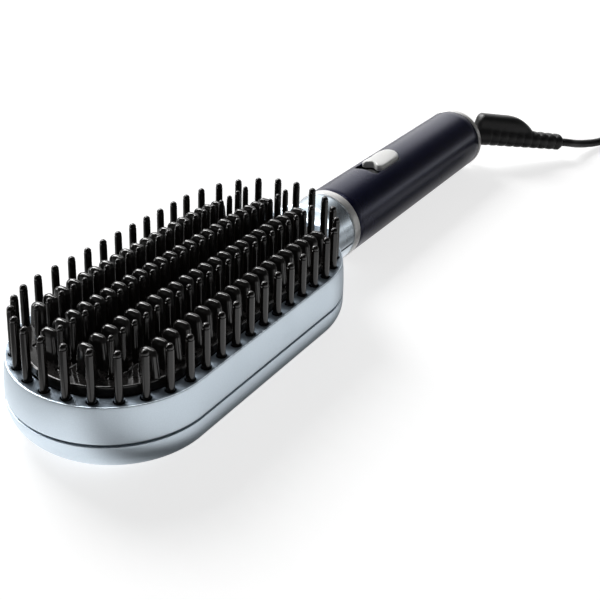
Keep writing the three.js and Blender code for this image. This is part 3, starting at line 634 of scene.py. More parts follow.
def mix(a, b, ta, tb, t):
    """The value at t on a straight run from a at ta to b at tb."""
    return a * ((tb - t) / (tb - ta)) + b * ((t - ta) / (tb - ta))


def spline(points, per_piece):
    """A centripetal Catmull-Rom curve through the points."""
    pts = [Vector(p) for p in points]
    pts = [pts[0] * 2 - pts[1], *pts, pts[-1] * 2 - pts[-2]]
    out = []
    for i in range(1, len(pts) - 2):
        p0, p1, p2, p3 = pts[i - 1: i + 3]
        t0, t1 = 0.0, max((p1 - p0).length ** 0.5, 1e-6)
        t2 = t1 + max((p2 - p1).length ** 0.5, 1e-6)
        t3 = t2 + max((p3 - p2).length ** 0.5, 1e-6)
        for k in range(per_piece):
            t = t1 + (t2 - t1) * k / per_piece
            a1, a2, a3 = mix(p0, p1, t0, t1, t), mix(p1, p2, t1, t2, t), mix(p2, p3, t2, t3, t)
            b1, b2 = mix(a1, a2, t0, t2, t), mix(a2, a3, t1, t3, t)
            out.append(mix(b1, b2, t1, t2, t))
    out.append(pts[-2])
    return out


def tube(points, r, sides):
    last = len(points) - 1
    side = (points[1] - points[0]).normalized().orthogonal().normalized()
    rings = []
    for i, p in enumerate(points):
        ahead = (points[min(i + 1, last)] - points[max(i - 1, 0)]).normalized()
        side = (side - ahead * side.dot(ahead)).normalized()
        other = ahead.cross(side)
        rings.append([p + (side * x + other * y) * r for x, y in circle(1, sides)])
    return Shape().solid(rings)


def coil_points():
    """The coil's points, and the directions in which the cord runs in and out of it."""
    steps = round(COIL_TURNS * 60)
    route = []
    for i in range(steps + 1):
        turn = COIL_TURNS * i / steps
        layer = min(int(turn / LAYER_TURNS), COIL_LAYERS - 1)
        share = turn / LAYER_TURNS - layer
        inward = share if layer % 2 == 0 else 1 - share
        r = COIL_OUT - inward * LAYER_TURNS * TURN_STEP
        climb = sum(ease((turn - k * LAYER_TURNS) / CLIMB_TURNS + 0.5) for k in range(1, COIL_LAYERS))
        a = COIL_START - 2 * math.pi * turn
        route.append(Vector((COIL_X + r * math.cos(a), COIL_Y + r * math.sin(a), COIL_Z + climb * TURN_STEP)))
    ends = (COIL_START, COIL_START - 2 * math.pi * COIL_TURNS)
    return route, *(Vector((math.sin(a), -math.cos(a), 0)) for a in ends)


def cord_route():
    coil, first, last = coil_points()
    out = guard_axes()[0]
    start = GUARD_END + out * 0.3
    lead = spline([start, start + out * 3.9, *LEAD_OVER, coil[0] - first * 4.2, coil[0] - first * 0.3], 10)
    tail = spline([coil[-1] + last * 0.3, coil[-1] + last * 3.9, *TAIL_OVER], 12)
    return [*lead, *coil, *tail]


def build_cord(with_pieces):
    points = cord_route()
    obj = make("power_cord", tube(points, CORD_R, CORD_SIDES), rubber, sharp=50)
    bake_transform(obj)
    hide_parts("cord_lead", "cord_coil", "cord_tail")


# Floor and light


def make_floor():
    """A white floor that keeps the shadow. Its glow in what is glossy is a painted pool of light that fades
    away from the head, with a painted shade by the head's right side.
    """
    m = bpy.data.materials.new("floor")
    m.use_nodes = True
    tree = m.node_tree
    tree.nodes.clear()
    place = node(tree, "TexCoord", {}).outputs["Object"]
    ray = node(tree, "LightPath", {}).outputs

    def fade(direction, start, end, low, high):
        return between(tree, along(tree, place, direction), start, end, low, high, "SMOOTHSTEP")

    # painted light in what is glossy: a pool brightest near the head's nose, fading away from it and darker
    # towards the handle
    shine = 1.0
    for numbers in PAINTED_POOL_FADES:
        shine = maths(tree, "MULTIPLY", shine, fade(*numbers))
    # painted shade in what is glossy: the glow darkens in a band under and beside the head's right side, like
    # a contact shadow
    dark, light = (fade((1, 0, 0), start, end, 0, share) for start, end, share in PAINTED_SHADE_UNDER_HEAD)
    painted_shade = maths(tree, "SUBTRACT", dark, light)
    shine = maths(tree, "MULTIPLY", shine, maths(tree, "SUBTRACT", 1.0, painted_shade))
    glossy = maths(tree, "MAXIMUM", ray["Is Glossy Ray"], ray["Is Transmission Ray"])
    seen = maths(tree, "MULTIPLY", ray["Is Camera Ray"], FLOOR_GLOW)
    strength = maths(tree, "ADD", seen, maths(tree, "MULTIPLY", glossy, shine))
    matt = node(tree, "BsdfDiffuse", {"Color": (FLOOR, FLOOR, FLOOR, 1)}).outputs[0]
    glow = node(tree, "Emission", {"Color": (1, 1, 1, 1), "Strength": strength}).outputs[0]
    node(tree, "OutputMaterial", {"Surface": node(tree, "AddShader", {0: matt, 1: glow}).outputs[0]})
    floor = Shape()
    half = FLOOR_HALF
    floor.cap(floor.loop([(-half, -half, 0), (half, -half, 0), (half, half, 0), (-half, half, 0)]))
    obj = make("floor", floor, m)
    obj.location.z = -0.0001


def make_world():
    """A dim dome, lighter behind the brush, with a bright part at its left and an edge at its right."""
    world = bpy.data.worlds.new("studio")
    bpy.context.scene.world = world
    world.use_nodes = True
    tree = world.node_tree
    tree.nodes.clear()
    place = node(tree, "TexCoord", {}).outputs["Generated"]
    strength = DOME
    for direction, inner, outer, bright in LOBES:
        start, end = (math.cos(math.radians(a)) for a in (outer, inner))
        lobe = along(tree, place, Vector(direction).normalized())
        lobe = between(tree, lobe, start, end, 0, 1, "SMOOTHSTEP")
        strength = maths(tree, "MULTIPLY_ADD", lobe, bright, strength)
    soft = node(tree, "Background", {"Color": (1, 1, 1, 1), "Strength": strength}).outputs[0]
    node(tree, "OutputWorld", {"Surface": soft})


def soft_box(name, out, long_side, bright, size, far):
    """A flat lamp towards `out` that faces the brush."""
    data = bpy.data.lights.new(name, "AREA")
    data.shape = "RECTANGLE"
    data.size, data.size_y = size
    data.energy = bright * math.pi * size[0] * size[1]
    obj = bpy.data.objects.new(name, data)
    obj.location = out * far
    obj.rotation_mode = "QUATERNION"
    obj.rotation_quaternion = Matrix((long_side, out.cross(long_side), out)).transposed().to_quaternion()
    bpy.context.scene.collection.objects.link(obj)
    return obj


def light_scene():
    """A key lamp, and strips in an arch that only what is glossy shows: 180 is its left end, 90 its top."""
    bpy.context.scene.view_settings.view_transform = "Standard"
    make_floor()
    make_world()
    soft_box("key", KEY_AT, KEY_AT.cross(UP).normalized(), KEY_BRIGHT, KEY_SIZE, KEY_FAR)
    for name, (angle, bright, size) in STRIPS.items():
        c, s = math.cos(math.radians(angle)), math.sin(math.radians(angle))
        out, long_side = ARCH_SIDE * c + ARCH_TOP * s, ARCH_TOP * c - ARCH_SIDE * s
        strip = soft_box(name, out.normalized(), long_side.normalized(), bright, size, ARCH_R)
        strip.visible_diffuse = False


# Head shells


def round_union(a, b, k):
    return np.maximum(k, np.minimum(a, b)) - np.hypot(np.maximum(k - a, 0), np.maximum(k - b, 0))


def round_cut(a, b, k):
    return np.minimum(-k, np.maximum(a, b)) + np.hypot(np.maximum(k + a, 0), np.maximum(k + b, 0))


def ease(x):
    t = np.clip(x, 0, 1)
    return t * t * (3 - 2 * t)


def lean(z):
    """How far the head's wall leans in at the height z."""
    high = RIM_Z - LEAN_START
    return WALL_LEAN * (np.clip(z - LEAN_START, 0, high) / high) ** 2


def head_side(x, y, z):
    """Below zero inside the head's wall and its rounded bottom."""
    d = np.hypot(x, np.maximum(np.abs(y) - HEAD_HALF, 0)) - WALL_R
    return round_cut(d + lean(z), -z, BOTTOM_ROUND)


def collar_field(x, y, z):
    """Below zero inside the head and the collar, which flow together."""
    turn = ease((y - TURN_START) / TURN_LONG)
    slab = round_cut(np.abs(x) - COLLAR_R, SLAB_LOW - z, BOTTOM_ROUND)
    neck = (1 - turn) * slab + turn * (np.hypot(x, z - AXIS_Z) - COLLAR_R)
    side = round_cut(round_union(head_side(x, y, z), neck, NECK_FILLET), NECK_LOW - z, NECK_LOW_ROUND)
    rise = ease((y - RISE_START) / RISE_LONG)
    return round_cut(side, z - RIM_Z - RISE * rise, RIM_ROUND + RISE_ROUND * rise)


def root(field, steps=60, reach=40.0):
    """The first distance at which field(distance) goes above zero, for arrays."""
    size = np.shape(field(reach))
    low, high = np.zeros(size), np.full(size, np.nan)
    for i in range(1, steps + 1):
        r = reach * i / steps
        new = (field(r) > 0) & np.isnan(high)
        high[new] = r
        low[new] = reach * (i - 1) / steps
    high = np.where(np.isnan(high), reach, high)
    for _ in range(28):
        middle = (low + high) / 2
        above = field(middle) > 0
        high = np.where(above, middle, high)
        low = np.where(above, low, middle)
    return (low + high) / 2


def collar_skin(shape, upper):
    """The collar's part of one shell, only what stands outside the head. It gives the grid's x and y."""
    cut = PARTING_TOP if upper else PARTING_LOW
    rows = [(COLLAR_START + COLLAR_STEP * i, 0.0) for i in range(COLLAR_ROWS)]
    rows += [(COLLAR_END - 0.25, 0.0), (COLLAR_END - 0.1, 0.08), (COLLAR_END, 0.25), (COLLAR_END, 2.0)]
    y, inset = (np.array(column) for column in zip(*rows))
    half = root(lambda x: collar_field(x + 0 * y, y, cut + 0 * y))
    edge = np.arctan2(cut - AXIS_Z, half)[:, None]
    share = np.linspace(0, 1, COLLAR_COLUMNS + 1)[None, :]
    angle = edge + (math.pi - 2 * edge) * share if upper else edge - (math.pi + 2 * edge) * share
    yy = np.repeat(y[:, None], COLLAR_COLUMNS + 1, 1)
    far = root(lambda r: collar_field(r * np.cos(angle), yy, AXIS_Z + r * np.sin(angle))) - inset[:, None]
    x, z = far * np.cos(angle), AXIS_Z + far * np.sin(angle)
    outside = round_cut(head_side(x, yy, z), z - RIM_Z, RIM_ROUND)
    x, z, outside = (np.pad(grid, ((0, 0), (1, 1)), "edge") for grid in (x, z, outside))
    x[:, [0, -1]] -= np.sign(x[:, [0, -1]]) * COLLAR_LIP
    wide = x.shape[1]
    faces = []
    for i in range(len(y) - 1):
        at_lock = not upper and near_lock(y, i)
        for k in range(wide - 1):
            if outside[i: i + 2, k: k + 2].max() > 0.003 and not (at_lock and near_lock_middle(x[i], k)):
                a = i * wide + k
                faces.append((a, a + 1, a + wide + 1, a + wide))
    shape.patch([(x[i, k], y[i], z[i, k]) for i in range(len(y)) for k in range(wide)], faces)
    return x, y


def near_lock(y, i):
    return abs((y[i] + y[i + 1]) / 2 - LOCK_Y) < LOCK_CELL[1]


def near_lock_middle(x, k):
    return abs(x[k] + x[k + 1]) / 2 < LOCK_CELL[0]


def lock_recess(shape, x, y):
    """The hole for the neck's screw, in the opening that collar_skin leaves."""
    rows = [i for i in range(len(y) - 1) if near_lock(y, i)]
    i0, i1 = rows[0], rows[-1] + 1
    cells = [k for k in range(x.shape[1] - 1) if near_lock_middle(x[i0], k)]
    k0, k1 = cells[0], cells[-1] + 1
    rim = [(i0, k) for k in range(k0, k1)] + [(i, k1) for i in range(i0, i1)]
    rim += [(i1, k) for k in range(k1, k0, -1)] + [(i, k0) for i in range(i1, i0, -1)]

    def on_collar(points):
        return [(p[0], p[1], AXIS_Z - math.sqrt(COLLAR_R ** 2 - p[0] ** 2)) for p in points]

    hole = level(circle(LOCK_R, LOCK_SIDES), 0, (0, LOCK_Y))
    verts, faces = fill([(x[i, k], y[i]) for i, k in rim], [hole])
    shape.patch(on_collar(verts), faces)
    walls = [level(circle(r, LOCK_SIDES), z, (0, LOCK_Y)) for r, z in LOCK_PROFILE]
    shape.skin([on_collar(hole), *walls])


def upper_shell():
    s = Shape()
    outer = arc((RIM_R, RIM_Z - RIM_ROUND), RIM_ROUND, 90, 8, 5)
    outer += [(WALL_R - lean(z), z) for z in WALL_LEVELS]
    outer += arc((WALL_R - PARTING_ROUND, PARTING_TOP + PARTING_ROUND), PARTING_ROUND, 0, -90, 3)
    around_head(s, outer + [(INNER_R, PARTING_TOP), (INNER_R, DECK_Z)])
    edge = arc((OPENING_R + OPENING_ROUND, RIM_Z - OPENING_ROUND), OPENING_ROUND, 90, 180, 3)
    around_head(s, edge + [(OPENING_R, DECK_Z)])
    edge = arc((HOLE_R + HOLE_ROUND, RIM_Z - HOLE_ROUND), HOLE_ROUND, 90, 180, 2)
    for at in pin_places:
        bore(s, edge + [(HOLE_R, DECK_Z)], at, HOLE_SIDES)
    for z, wall_r, opening_r, hole_r in ((RIM_Z, RIM_R, OPENING_R + OPENING_ROUND, HOLE_R + HOLE_ROUND),
                                         (DECK_Z, INNER_R, OPENING_R, HOLE_R)):
        holes = [stadium(opening_r, 0), *round_holes(hole_r, HOLE_SIDES, pin_places)]
        flat(s, z, stadium(wall_r, 0), holes)
    collar_skin(s, True)
    shell = make("upper_shell", s, satin_silver, "housing", "head_frame")
    darken_deck(shell)


def darken_deck(shell):
    """The rim's flat and the walls of its holes take the second material, a darker copy of the silver that
    paints shade on them.
    """
    shell.data.materials.append(shaded_deck_silver)
    for face in shell.data.polygons:
        x, y, z = face.center * 1000
        within = math.hypot(x, max(abs(y + Y_MIDDLE) - HEAD_HALF, 0)) < RIM_R - 0.02
        if within and z > DECK_Z + 0.01 or abs(z - RIM_Z) < 0.001:
            face.material_index = 1


def lower_shell():
    s = Shape()
    profile = [(INNER_R, BOTTOM_ROUND), (INNER_R, PARTING_LOW)]
    profile += arc((WALL_R - PARTING_ROUND, PARTING_LOW - PARTING_ROUND), PARTING_ROUND, 90, 0, 3)
    rings = [stadium(r, z) for r, z in profile] + [bottom_loop(WALL_R, 90 * k / 16) for k in range(17)]
    s.skin(rings)
    around_head(s, arc((WALL_R - BOTTOM_ROUND, BOTTOM_ROUND), BOTTOM_ROUND - WALL, 0, -90, 6))
    posts = [(x * POST_AT[0], y * POST_AT[1]) for y in (-1, 1) for x in (-1, 1)]
    edge = [(SINK_R + 0.2, 0.0), (SINK_R + 0.05, 0.15), (SINK_R, 0.4)]
    flat(s, 0.0, rings[-1], round_holes(edge[0][0], POST_SIDES, posts))
    flat(s, WALL, stadium(WALL_R - BOTTOM_ROUND, 0), round_holes(POST_R, POST_SIDES, posts))
    walls = [(SINK_R, SINK_TOP), (SCREW_R, SINK_TOP), (SCREW_R, POST_TOP), (POST_R, POST_TOP), (POST_R, WALL)]
    for at in posts:
        bore(s, edge + walls, at, POST_SIDES)
    lock_recess(s, *collar_skin(s, False))
    make("lower_shell", s, satin_silver, "housing", "rear_cover")


# Pins, plate and fins


def ball_pin(foot, top, radii, sides):
    """A pin that ends in a shoulder with a small ball on it."""
    foot_r, shaft_r, ball_r = radii
    seat = top - BALL_SEAT * ball_r - SHOULDER_ROUND
    profile = [(foot_r, foot), (shaft_r, seat)]
    profile += arc((shaft_r - SHOULDER_ROUND, seat), SHOULDER_ROUND, 0, 90, 3)[1:]
    profile += arc((0, top - ball_r), ball_r, -28, 90, 9)
    return Shape().solid(turned(profile, sides, lambda x, y, z: (x, y, z)))


def crown(x):
    """The height of the bristles' tips at the distance x from the middle."""
    return CROWN_Z - CROWN * x * x


def outer_pins():
    s = Shape()
    for x, y in pin_places:
        s.copy_of(ball_pin(CARRIER_TOP - 1, crown(x), PIN_RADII, 20), (x, y, 0))
    hoop(s, *CARRIER, CARRIER_TOP - 2, CARRIER_TOP)
    make("outer_pins", s, pin_black, "housing", "outer_bristle_carrier")


def bar_outline(x, count, margin, corner):
    """The outline of the bar under a row of cool pins, grown by a margin."""
    half_long = (count - 1) / 2 * FIN_PITCH + BAR_PAST
    return [(x + px, py) for px, py in rounded_box(BAR_HALF + margin, half_long + margin, corner, 4)]


def oval(half_x, half_y, steps=24):
    """A rounded section: a short straight middle with half-round ends."""
    out = []
    for x, y in circle(half_y, steps):
        straight = math.copysign(half_x - half_y, x) if abs(x) > 1e-8 else 0.0
        out.append((straight + x, y))
    return out


def one_fin(top):
    """A fin with a rounded top, wider at its foot."""
    levels = [(kx, ky, PLATE_TOP + z) for kx, ky, z in FIN_FOOT]
    for k in range(8):
        a = math.pi / 2 * k / 8
        slim = math.cos(a) ** 0.8
        levels.append((FIN_HEAD[0] * slim, FIN_HEAD[1] * slim, top - FIN_DOME + FIN_DOME * math.sin(a)))
    s = Shape()
    loops = s.skin([[(x * kx, y * ky, z) for x, y in oval(*FIN_HALF)] for kx, ky, z in levels])
    s.cap(loops[0])
    s.fan(loops[-1], (0, 0, top))
    return s


def finned_plate():
    s = Shape()
    around_head(s, [(PLATE_R, PLATE_LOW)]
                + arc((PLATE_R - PLATE_ROUND, PLATE_TOP - PLATE_ROUND), PLATE_ROUND, 0, 90, 6))
    slots = [bar_outline(x, n, SLOT_GAP + SLOT_EDGE, SLOT_TOP_ROUND) for x, n in BARS]
    flat(s, PLATE_TOP, stadium(PLATE_R - PLATE_ROUND, 0), slots)
    flat(s, PLATE_LOW, stadium(PLATE_R, 0), [bar_outline(x, n, SLOT_GAP, SLOT_ROUND) for x, n in BARS])
    for x, n in BARS:
        rings = []
        for come_in, up in quarter(3):
            out = SLOT_EDGE * (1 - up)
            outline = bar_outline(x, n, SLOT_GAP + out, SLOT_ROUND + out)
            rings.append(level(outline, PLATE_TOP - SLOT_EDGE * come_in))
        rings.append(level(bar_outline(x, n, SLOT_GAP, SLOT_ROUND), PLATE_LOW))
        s.skin(rings)
    for row, count in FIN_ROWS:
        x = row * FIN_ROW
        for i in range(count):
            drop = FIN_END_DROP.get(min(i, count - 1 - i), 0)
            s.copy_of(one_fin(FIN_CROWN_Z - CROWN * x * x - drop), (x, (i - (count - 1) / 2) * FIN_PITCH, 0))
    make("finned_plate", s, plate_black, "housing", "heating_plate")


def cool_pins():
    s = Shape()
    for x, count in BARS:
        rings = [level(bar_outline(x, count, 0, 0.6), BAR_LOW)]
        for come_in, up in quarter(4):
            inset = BAR_ROUND * come_in
            z = BAR_TOP - BAR_ROUND + BAR_ROUND * up
            rings.append(level(bar_outline(x, count, -inset, 0.65 - inset), z))
        s.solid(rings)
        for i in range(count):
            pin = ball_pin(BAR_TOP - BAR_ROUND, crown(x) - COOL_DROP, COOL_RADII, 18)
            s.copy_of(pin, (x, (i - (count - 1) / 2) * FIN_PITCH, 0))
    hoop(s, *COOL_CARRIER)
    make("cool_pins", s, pin_black, "housing", "cool_pin_carrier")


# Handle


def band(name, replaced, inner, y0, y1):
    """A bright ring round the handle with rounded edges."""
    r = 0.3
    profile = [(inner, y0)] + [(x, y) for y, x in arc((y0 + r, RING_R - r), r, 180, 90, 4)]
    profile += [(x, y) for y, x in arc((y1 - r, RING_R - r), r, 90, 0, 4)] + [(inner, y1), (inner, y0)]
    s = Shape()
    s.skin(turned(profile, HANDLE_SIDES, on_handle))
    make(name, s, bright_trim, "housing", replaced, 35)


def switch_outline(margin, concave):
    """Round front corners and a half circle at the rear. A concave front has a bump that dips into it."""
    half = SLIDER_HALF + margin
    corner = SLIDER_CORNER + margin
    front = SLIDER_FRONT - margin if concave else WINDOW_FRONT
    rear = SLIDER_REAR + margin - half
    side = rear - front - corner
    flat_half = half - corner
    out = arc((flat_half, front + corner), corner, -90, 0, 8)
    out += [(half, front + corner + side * k / 8) for k in range(1, 8)]
    out += arc((0, rear), half, 0, 180, 28)
    out += [(-half, rear - side * k / 8) for k in range(1, 8)]
    out += arc((-flat_half, front + corner), corner, 180, 270, 8)
    for k in range(1, 12):
        x = -flat_half + 2 * flat_half * k / 12
        dip = SLIDER_DIP * (0.5 + 0.5 * math.cos(math.pi * x / flat_half)) if concave else 0.0
        out.append((x, front + dip))
    return out


def window_outline(out):
    """The outline of the window in the sleeve, grown by `out`."""
    grown = switch_outline(SLIDER_GAP + out, False)
    return [(x, y - out if y < WINDOW_FRONT + 0.5 else y) for x, y in grown]


def window_cell(s):
    """The part of the sleeve round its window, unrolled for the fill, and the window's edge."""
    reach = HANDLE_R * CELL_STEP * CELL_SPREAD
    wide, long = 2 * CELL_SPREAD, CELL_HIGH - CELL_LOW
    edge = [(-reach + 2 * reach * k / wide, CELL_LOW) for k in range(wide)]
    edge += [(reach, CELL_LOW + long * k / CELL_ROWS) for k in range(CELL_ROWS)]
    edge += [(reach - 2 * reach * k / wide, CELL_HIGH) for k in range(wide)]
    edge += [(-reach, CELL_HIGH - long * k / CELL_ROWS) for k in range(CELL_ROWS)]
    rim = [(HANDLE_R * math.asin(max(-1, min(1, x / HANDLE_R))), y) for x, y in window_outline(WINDOW_BEVEL)]
    grid = [Vector((-reach + reach * i / CELL_SPREAD, CELL_LOW + long * j / CELL_ROWS))
            for i in range(1, wide) for j in range(1, CELL_ROWS)]
    verts, faces = fill(edge, [rim], clear_points(grid, rim, False, 0.5))
    s.patch([on_handle(HANDLE_R * math.sin(v.x / HANDLE_R), HANDLE_R * math.cos(v.x / HANDLE_R), v.y)
             for v in verts], faces)
    rings = []
    for come_in, up in quarter(3):
        drop = WINDOW_BEVEL * come_in
        rings.append([on_handle(x, math.sqrt(HANDLE_R ** 2 - x * x) - drop, y)
                      for x, y in window_outline(WINDOW_BEVEL * (1 - up))])
    floor_r = HANDLE_R - WINDOW_DEEP
    rings.append([on_handle(x, math.sqrt(floor_r ** 2 - x * x), y) for x, y in window_outline(0)])
    s.skin(rings)


def sleeve():
    """The handle's tube, whose rows leave out the window's cell."""
    s = Shape()
    window_cell(s)
    start = math.pi / 2 - CELL_SPREAD * CELL_STEP
    angles = [start + k * CELL_STEP for k in range(HANDLE_SIDES)]
    first, last = NECK_Y + RING_GAP, SLEEVE_END
    rows = [(first, SLEEVE_BORE), *((first + back, r) for r, back in SLEEVE_EDGE)]
    first += SLEEVE_EDGE[-1][1]
    rows += [(first + (CELL_LOW - first) * k / 8, HANDLE_R) for k in range(1, 8)]
    rows += [(CELL_LOW + (CELL_HIGH - CELL_LOW) * k / CELL_ROWS, HANDLE_R) for k in range(CELL_ROWS + 1)]
    last -= SLEEVE_EDGE[-1][1]
    rows += [(CELL_HIGH + (last - CELL_HIGH) * k / 16, HANDLE_R) for k in range(1, 16)]
    rows += [(SLEEVE_END - back, r) for r, back in reversed(SLEEVE_EDGE)] + [(SLEEVE_END, SLEEVE_BORE)]
    loops = [s.loop([on_handle(r * math.cos(a), r * math.sin(a), y) for a in angles]) for y, r in rows]
    for (ya, _), (yb, _), a, b in zip(rows, rows[1:], loops, loops[1:]):
        beside_window = ya >= CELL_LOW - 1e-6 and yb <= CELL_HIGH + 1e-6
        for k in range(2 * CELL_SPREAD if beside_window else 0, HANDLE_SIDES):
            j = (k + 1) % HANDLE_SIDES
            s.faces.append((a[k], a[j], b[j], b[k]))
    make("sleeve", s, navy, "housing", "handle_sleeve", weld=2e-6)


def slider():
    def top(x, y, drop):
        spread = ((y - HOLLOW_Y) / HOLLOW_SPREAD[1]) ** 2 + (x / HOLLOW_SPREAD[0]) ** 2
        return AXIS_Z + math.sqrt(CAP_R ** 2 - x * x) - HOLLOW_DEEP * math.exp(-spread) - drop

    s = Shape()
    rings = [level(switch_outline(0, True), CAP_LOW)]
    for come_in, up in quarter(5):
        rings.append([(x, y, top(x, y, SLIDER_EDGE * (1 - up)))
                      for x, y in switch_outline(-SLIDER_EDGE * come_in, True)])
    loops = s.skin(rings)
    s.cap(loops[0])
    rim = [(s.points[i][0], s.points[i][1]) for i in loops[-1]]
    grid = [Vector((i * 0.8, 124.0 + 0.8 * j)) for i in range(-5, 6) for j in range(24)]
    verts, faces = fill(rim, [], clear_points(grid, rim, True, 0.45))
    s.patch([(v.x, v.y, top(v.x, v.y, 0)) for v in verts], faces)
    make("slider_cap", s, pale_plastic, "switch", "switch_slider", weld=2e-6)


def rear_end():
    """The plug in the handle's end and the swivel's disc in it."""
    plug = [(5.3, -7.0), (5.3, 0.0), (5.6, 0.3), (11.6, 0.3)]
    plug += [(r, h) for h, r in arc((-0.3, 11.9), 0.6, 0, 90, 4)]
    plug += [(12.5, -END_RING_WIDTH), (10.0, -END_RING_WIDTH), (10.0, -7.0)]
    disc = [(1.7, -13.3), (3.4, -13.3), (3.4, 0.7), (7.7, 0.7), (8.0, 1.0), (8.0, 3.4), (7.7, 3.7),
            (3.0, 3.7), (3.0, 7.3), (2.8, 7.5), (1.7, 7.5), (1.7, -13.3)]
    for profile, sides, name, body, replaced, sharp, slot in (
            (plug, 96, "end_plug", "housing", "end_cap", 35, "gloss_black"),
            (disc, 72, "swivel_disc", "swivel", "swivel_shaft", 30, "dark_plastic")):
        s = Shape()
        s.skin(turned([(r, END_Y + h) for r, h in profile], sides, on_handle))
        make(name, s, dark_plastic, body, replaced, sharp)


# Cord guard and plug


def guard_axes():
    out = (GUARD_END - GUARD_START).normalized()
    up = (UP - out * out.z).normalized()
    return out, up, out.cross(up), (GUARD_END - GUARD_START).length


def guard_field(px, py, pz):
    """Below zero inside the ribbed sleeve, its hood and the knuckle that turns in the handle's end."""
    *axes, long = guard_axes()
    o = np.array(GUARD_START)
    dx, dy, dz = px - o[0], py - o[1], pz - o[2]
    s, v, t = (dx * axis[0] + dy * axis[1] + dz * axis[2] for axis in map(np.array, axes))
    wave = 0.5 + 0.5 * np.cos(2 * math.pi * (s - RIB_START) / RIB_PITCH)
    dip = RIB_DEEP * (1 - wave ** 0.3) * ease((s - 17) / 2) * ease((long - 2.5 - s) / 2)
    taper = GUARD_ROOT_R + (GUARD_TIP_R - GUARD_ROOT_R) * s / long
    rib = (np.abs(v) ** 2.5 + np.abs(t) ** 2.5) ** 0.4 - taper + dip
    nose = np.clip((s - HOOD_FULL) / (HOOD_END - HOOD_FULL), 0, 1.15)
    heel = np.sqrt(1 - np.clip((HOOD_START + HEEL_LONG - s) / HEEL_LONG, 0, 1) ** 2)
    top = HOOD_TOP - HOOD_DROP * nose ** 2.2 - HEEL_DROP * (1 - heel)
    half = HOOD_HALF * (1 - 0.45 * nose ** 2.5) * heel
    beside = np.maximum(np.abs(t) - half + HOOD_ROUND, 0)
    above = np.maximum(v - top + HOOD_ROUND, 0)
    hood = np.hypot(beside, above) - HOOD_ROUND
    hood = np.where((s < HOOD_START) | (s > HOOD_END + 2), 9.0, np.maximum(hood, -v))
    past = py - KNUCKLE_Y
    knuckle = np.hypot(px, pz - AXIS_Z) - KNUCKLE_R
    knuckle = round_cut(knuckle, np.abs(past - KNUCKLE_HALF) - KNUCKLE_HALF, 0.8)
    body = round_union(round_union(rib, hood, 1.0), knuckle, 1.5)
    return round_cut(body, -past, 0.5)


def guard():
    """The guard's skin: rays from its axis to the field's surface, then its turned tip."""
    out, up, side, long = guard_axes()
    a, u, w, o = (np.array(v) for v in (out, up, side, GUARD_START))
    count = int((long - 1.7 - GUARD_FIRST) / GUARD_STEP) + 1
    s = np.array([GUARD_FIRST + GUARD_STEP * i for i in range(count)])[:, None]
    phi = (np.arange(GUARD_SIDES) * 2 * math.pi / GUARD_SIDES)[None, :]
    centre = [o[i] + s * a[i] + 0 * phi for i in range(3)]
    ray = [u[i] * np.cos(phi) + w[i] * np.sin(phi) + 0 * s for i in range(3)]
    r = root(lambda d: guard_field(*(centre[i] + ray[i] * d for i in range(3))), 80, 16.0)
    rings = np.stack([centre[i] + ray[i] * r for i in range(3)], axis=2).tolist()
    for tip_r, before in GUARD_TIP:
        middle = GUARD_START + out * (long - before)
        rings.append([middle + (up * x + side * y) * tip_r for x, y in circle(1, GUARD_SIDES)])
    make("guard", Shape().solid(rings), rubber, "swivel", "cord_guard", 60)


def plug_side():
    """Half of the plug's outline, from its front to its cord."""
    half, front, rear = PLUG_HALF, PLUG_FRONT, PLUG_REAR
    side = [(half - 2.2, front), (half - 0.6, front + 0.6), (half, front + 2.2)]
    for k in range(1, 11):
        side.append((half - 1.0 * (k / 10) ** 1.5, front + 2.2 + 9.8 * k / 10))
    for t in (k / 12 for k in range(1, 13)):
        a, b, c = (1 - t) ** 2, 2 * t * (1 - t), t * t
        x = a * (half - 1) + b * (half - 5) + c * 7
        side.append((x, a * (front + 12) + b * (front + 24) + c * (rear - 0.8)))
    return side + [(6.4, rear - 0.2), (5.6, rear)]


def plug_shell():
    side = plug_side()
    outline = side + [(-x, y) for x, y in reversed(side)]

    def shrunk(inset):
        out = []
        for i, (x, y) in enumerate(outline):
            ax, ay = outline[i - 1]
            bx, by = outline[(i + 1) % len(outline)]
            m = math.hypot(bx - ax, by - ay)
            out.append((PLUG_X + x - (by - ay) / m * inset, y + (bx - ax) / m * inset))
        return out

    rounded = [(shrunk(PLUG_ROUND * come_in), PLUG_ROUND * up) for come_in, up in quarter(6)]
    rings = [level(loop, PLUG_ROUND - up) for loop, up in reversed(rounded)]
    rings += [level(loop, PLUG_FLAT + up) for loop, up in rounded]
    return make("plug_shell", Shape().solid(rings), rubber, "housing", "plug_body", 50)


def contact_pin(label, sign):
    x0, y0 = PLUG_X + sign * PRONG_APART, PLUG_FRONT + 8
    profile = [(PRONG_R, 0.0), (PRONG_R, PRONG_LONG - 0.8)]
    profile += [(r, h) for h, r in arc((PRONG_LONG - 0.8, PRONG_R - 0.8), 0.8, 90, 0, 5)]
    pin = Shape().solid(turned(profile, 40, lambda a, b, h: (x0 + a, y0 - h, PLUG_Z + b)))
    return make(f"contact_pin_{label}", pin, steel, "housing", f"plug_pin_{label}")


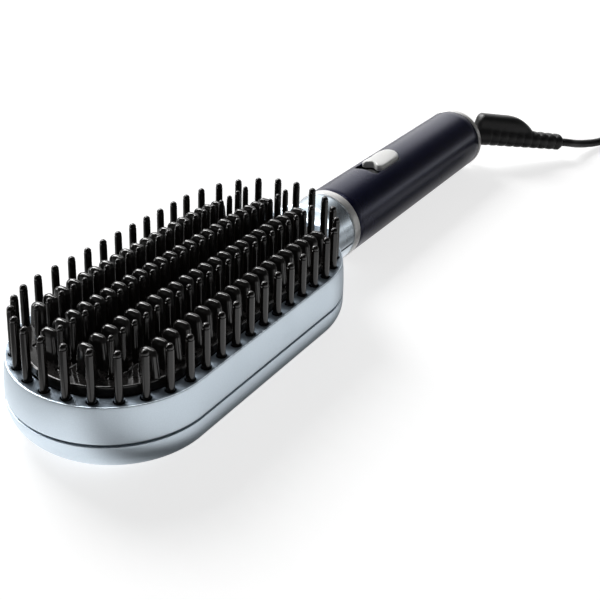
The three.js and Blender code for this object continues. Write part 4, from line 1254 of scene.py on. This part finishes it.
def plug_relief():
    """The plug's ribbed guard, which tapers towards the cord."""
    profile = [(1.9, 0.2), (4.4, 0.2)]
    for i in range(5):
        r, y = 4.3 - 0.25 * i, 4 * i
        profile += [(r, y + 1.0), (r, y + 2.3), (r - 0.3, y + 2.6), (r - 0.8, y + 2.9), (r - 0.8, y + 3.6),
                    (r - 0.5, y + 3.9)]
    profile += [(3.2, 21.2), (2.9, 22.0), (2.0, 22.0)]
    rings = turned(profile, 48, lambda a, b, h: (PLUG_X + a, PLUG_GUARD_Y - 22 + h, PLUG_Z + b))
    return make("plug_relief", Shape().solid(rings), rubber, "housing", "plug_guard", 50)


def tie():
    """A soft band round the coil, with raised edges."""
    inner = COIL_OUT - LAYER_TURNS * TURN_STEP - CORD_R - 0.35
    outer = COIL_OUT + CORD_R + 0.55
    low, high = 0.6, COIL_Z + (COIL_LAYERS - 1) * TURN_STEP + CORD_R + 0.35
    half_r, half_z = (outer - inner) / 2, (high - low) / 2
    c, s = math.cos(TIE_AT), math.sin(TIE_AT)

    def ring(margin, t):
        points = rounded_box(half_r + margin, half_z + margin, TIE_CORNER + margin, 6)
        return [(COIL_X + r * c - t * s, COIL_Y + r * s + t * c, (high + low) / 2 + z)
                for r, z in ((inner + half_r + x, z) for x, z in points)]

    section = [(0.5, 3.3), (0.6, 3.1), (0.5, 2.8)]
    section = [(0.1, -3.3), *((m, -t) for m, t in section), *reversed(section), (0.1, 3.3), (0.1, -3.3)]
    shape = Shape()
    shape.skin([ring(m, t) for m, t in section])
    return make("coil_tie", shape, rubber, "housing", "cord_tie", 50)


pin_places = ring_places(PIN_RING_R, PIN_COUNT)
place_camera()
light_scene()
upper_shell()
lower_shell()
outer_pins()
finned_plate()
cool_pins()
band("neck_band", "neck_ring", 11.7, NECK_Y - RING_WIDTH, NECK_Y)
band("end_band", "end_ring", 12.8, END_Y - END_RING_WIDTH, END_Y)
sleeve()
slider()
rear_end()
guard()
build_cord([tie(), plug_shell(), contact_pin("left", -1), contact_pin("right", 1), plug_relief()])
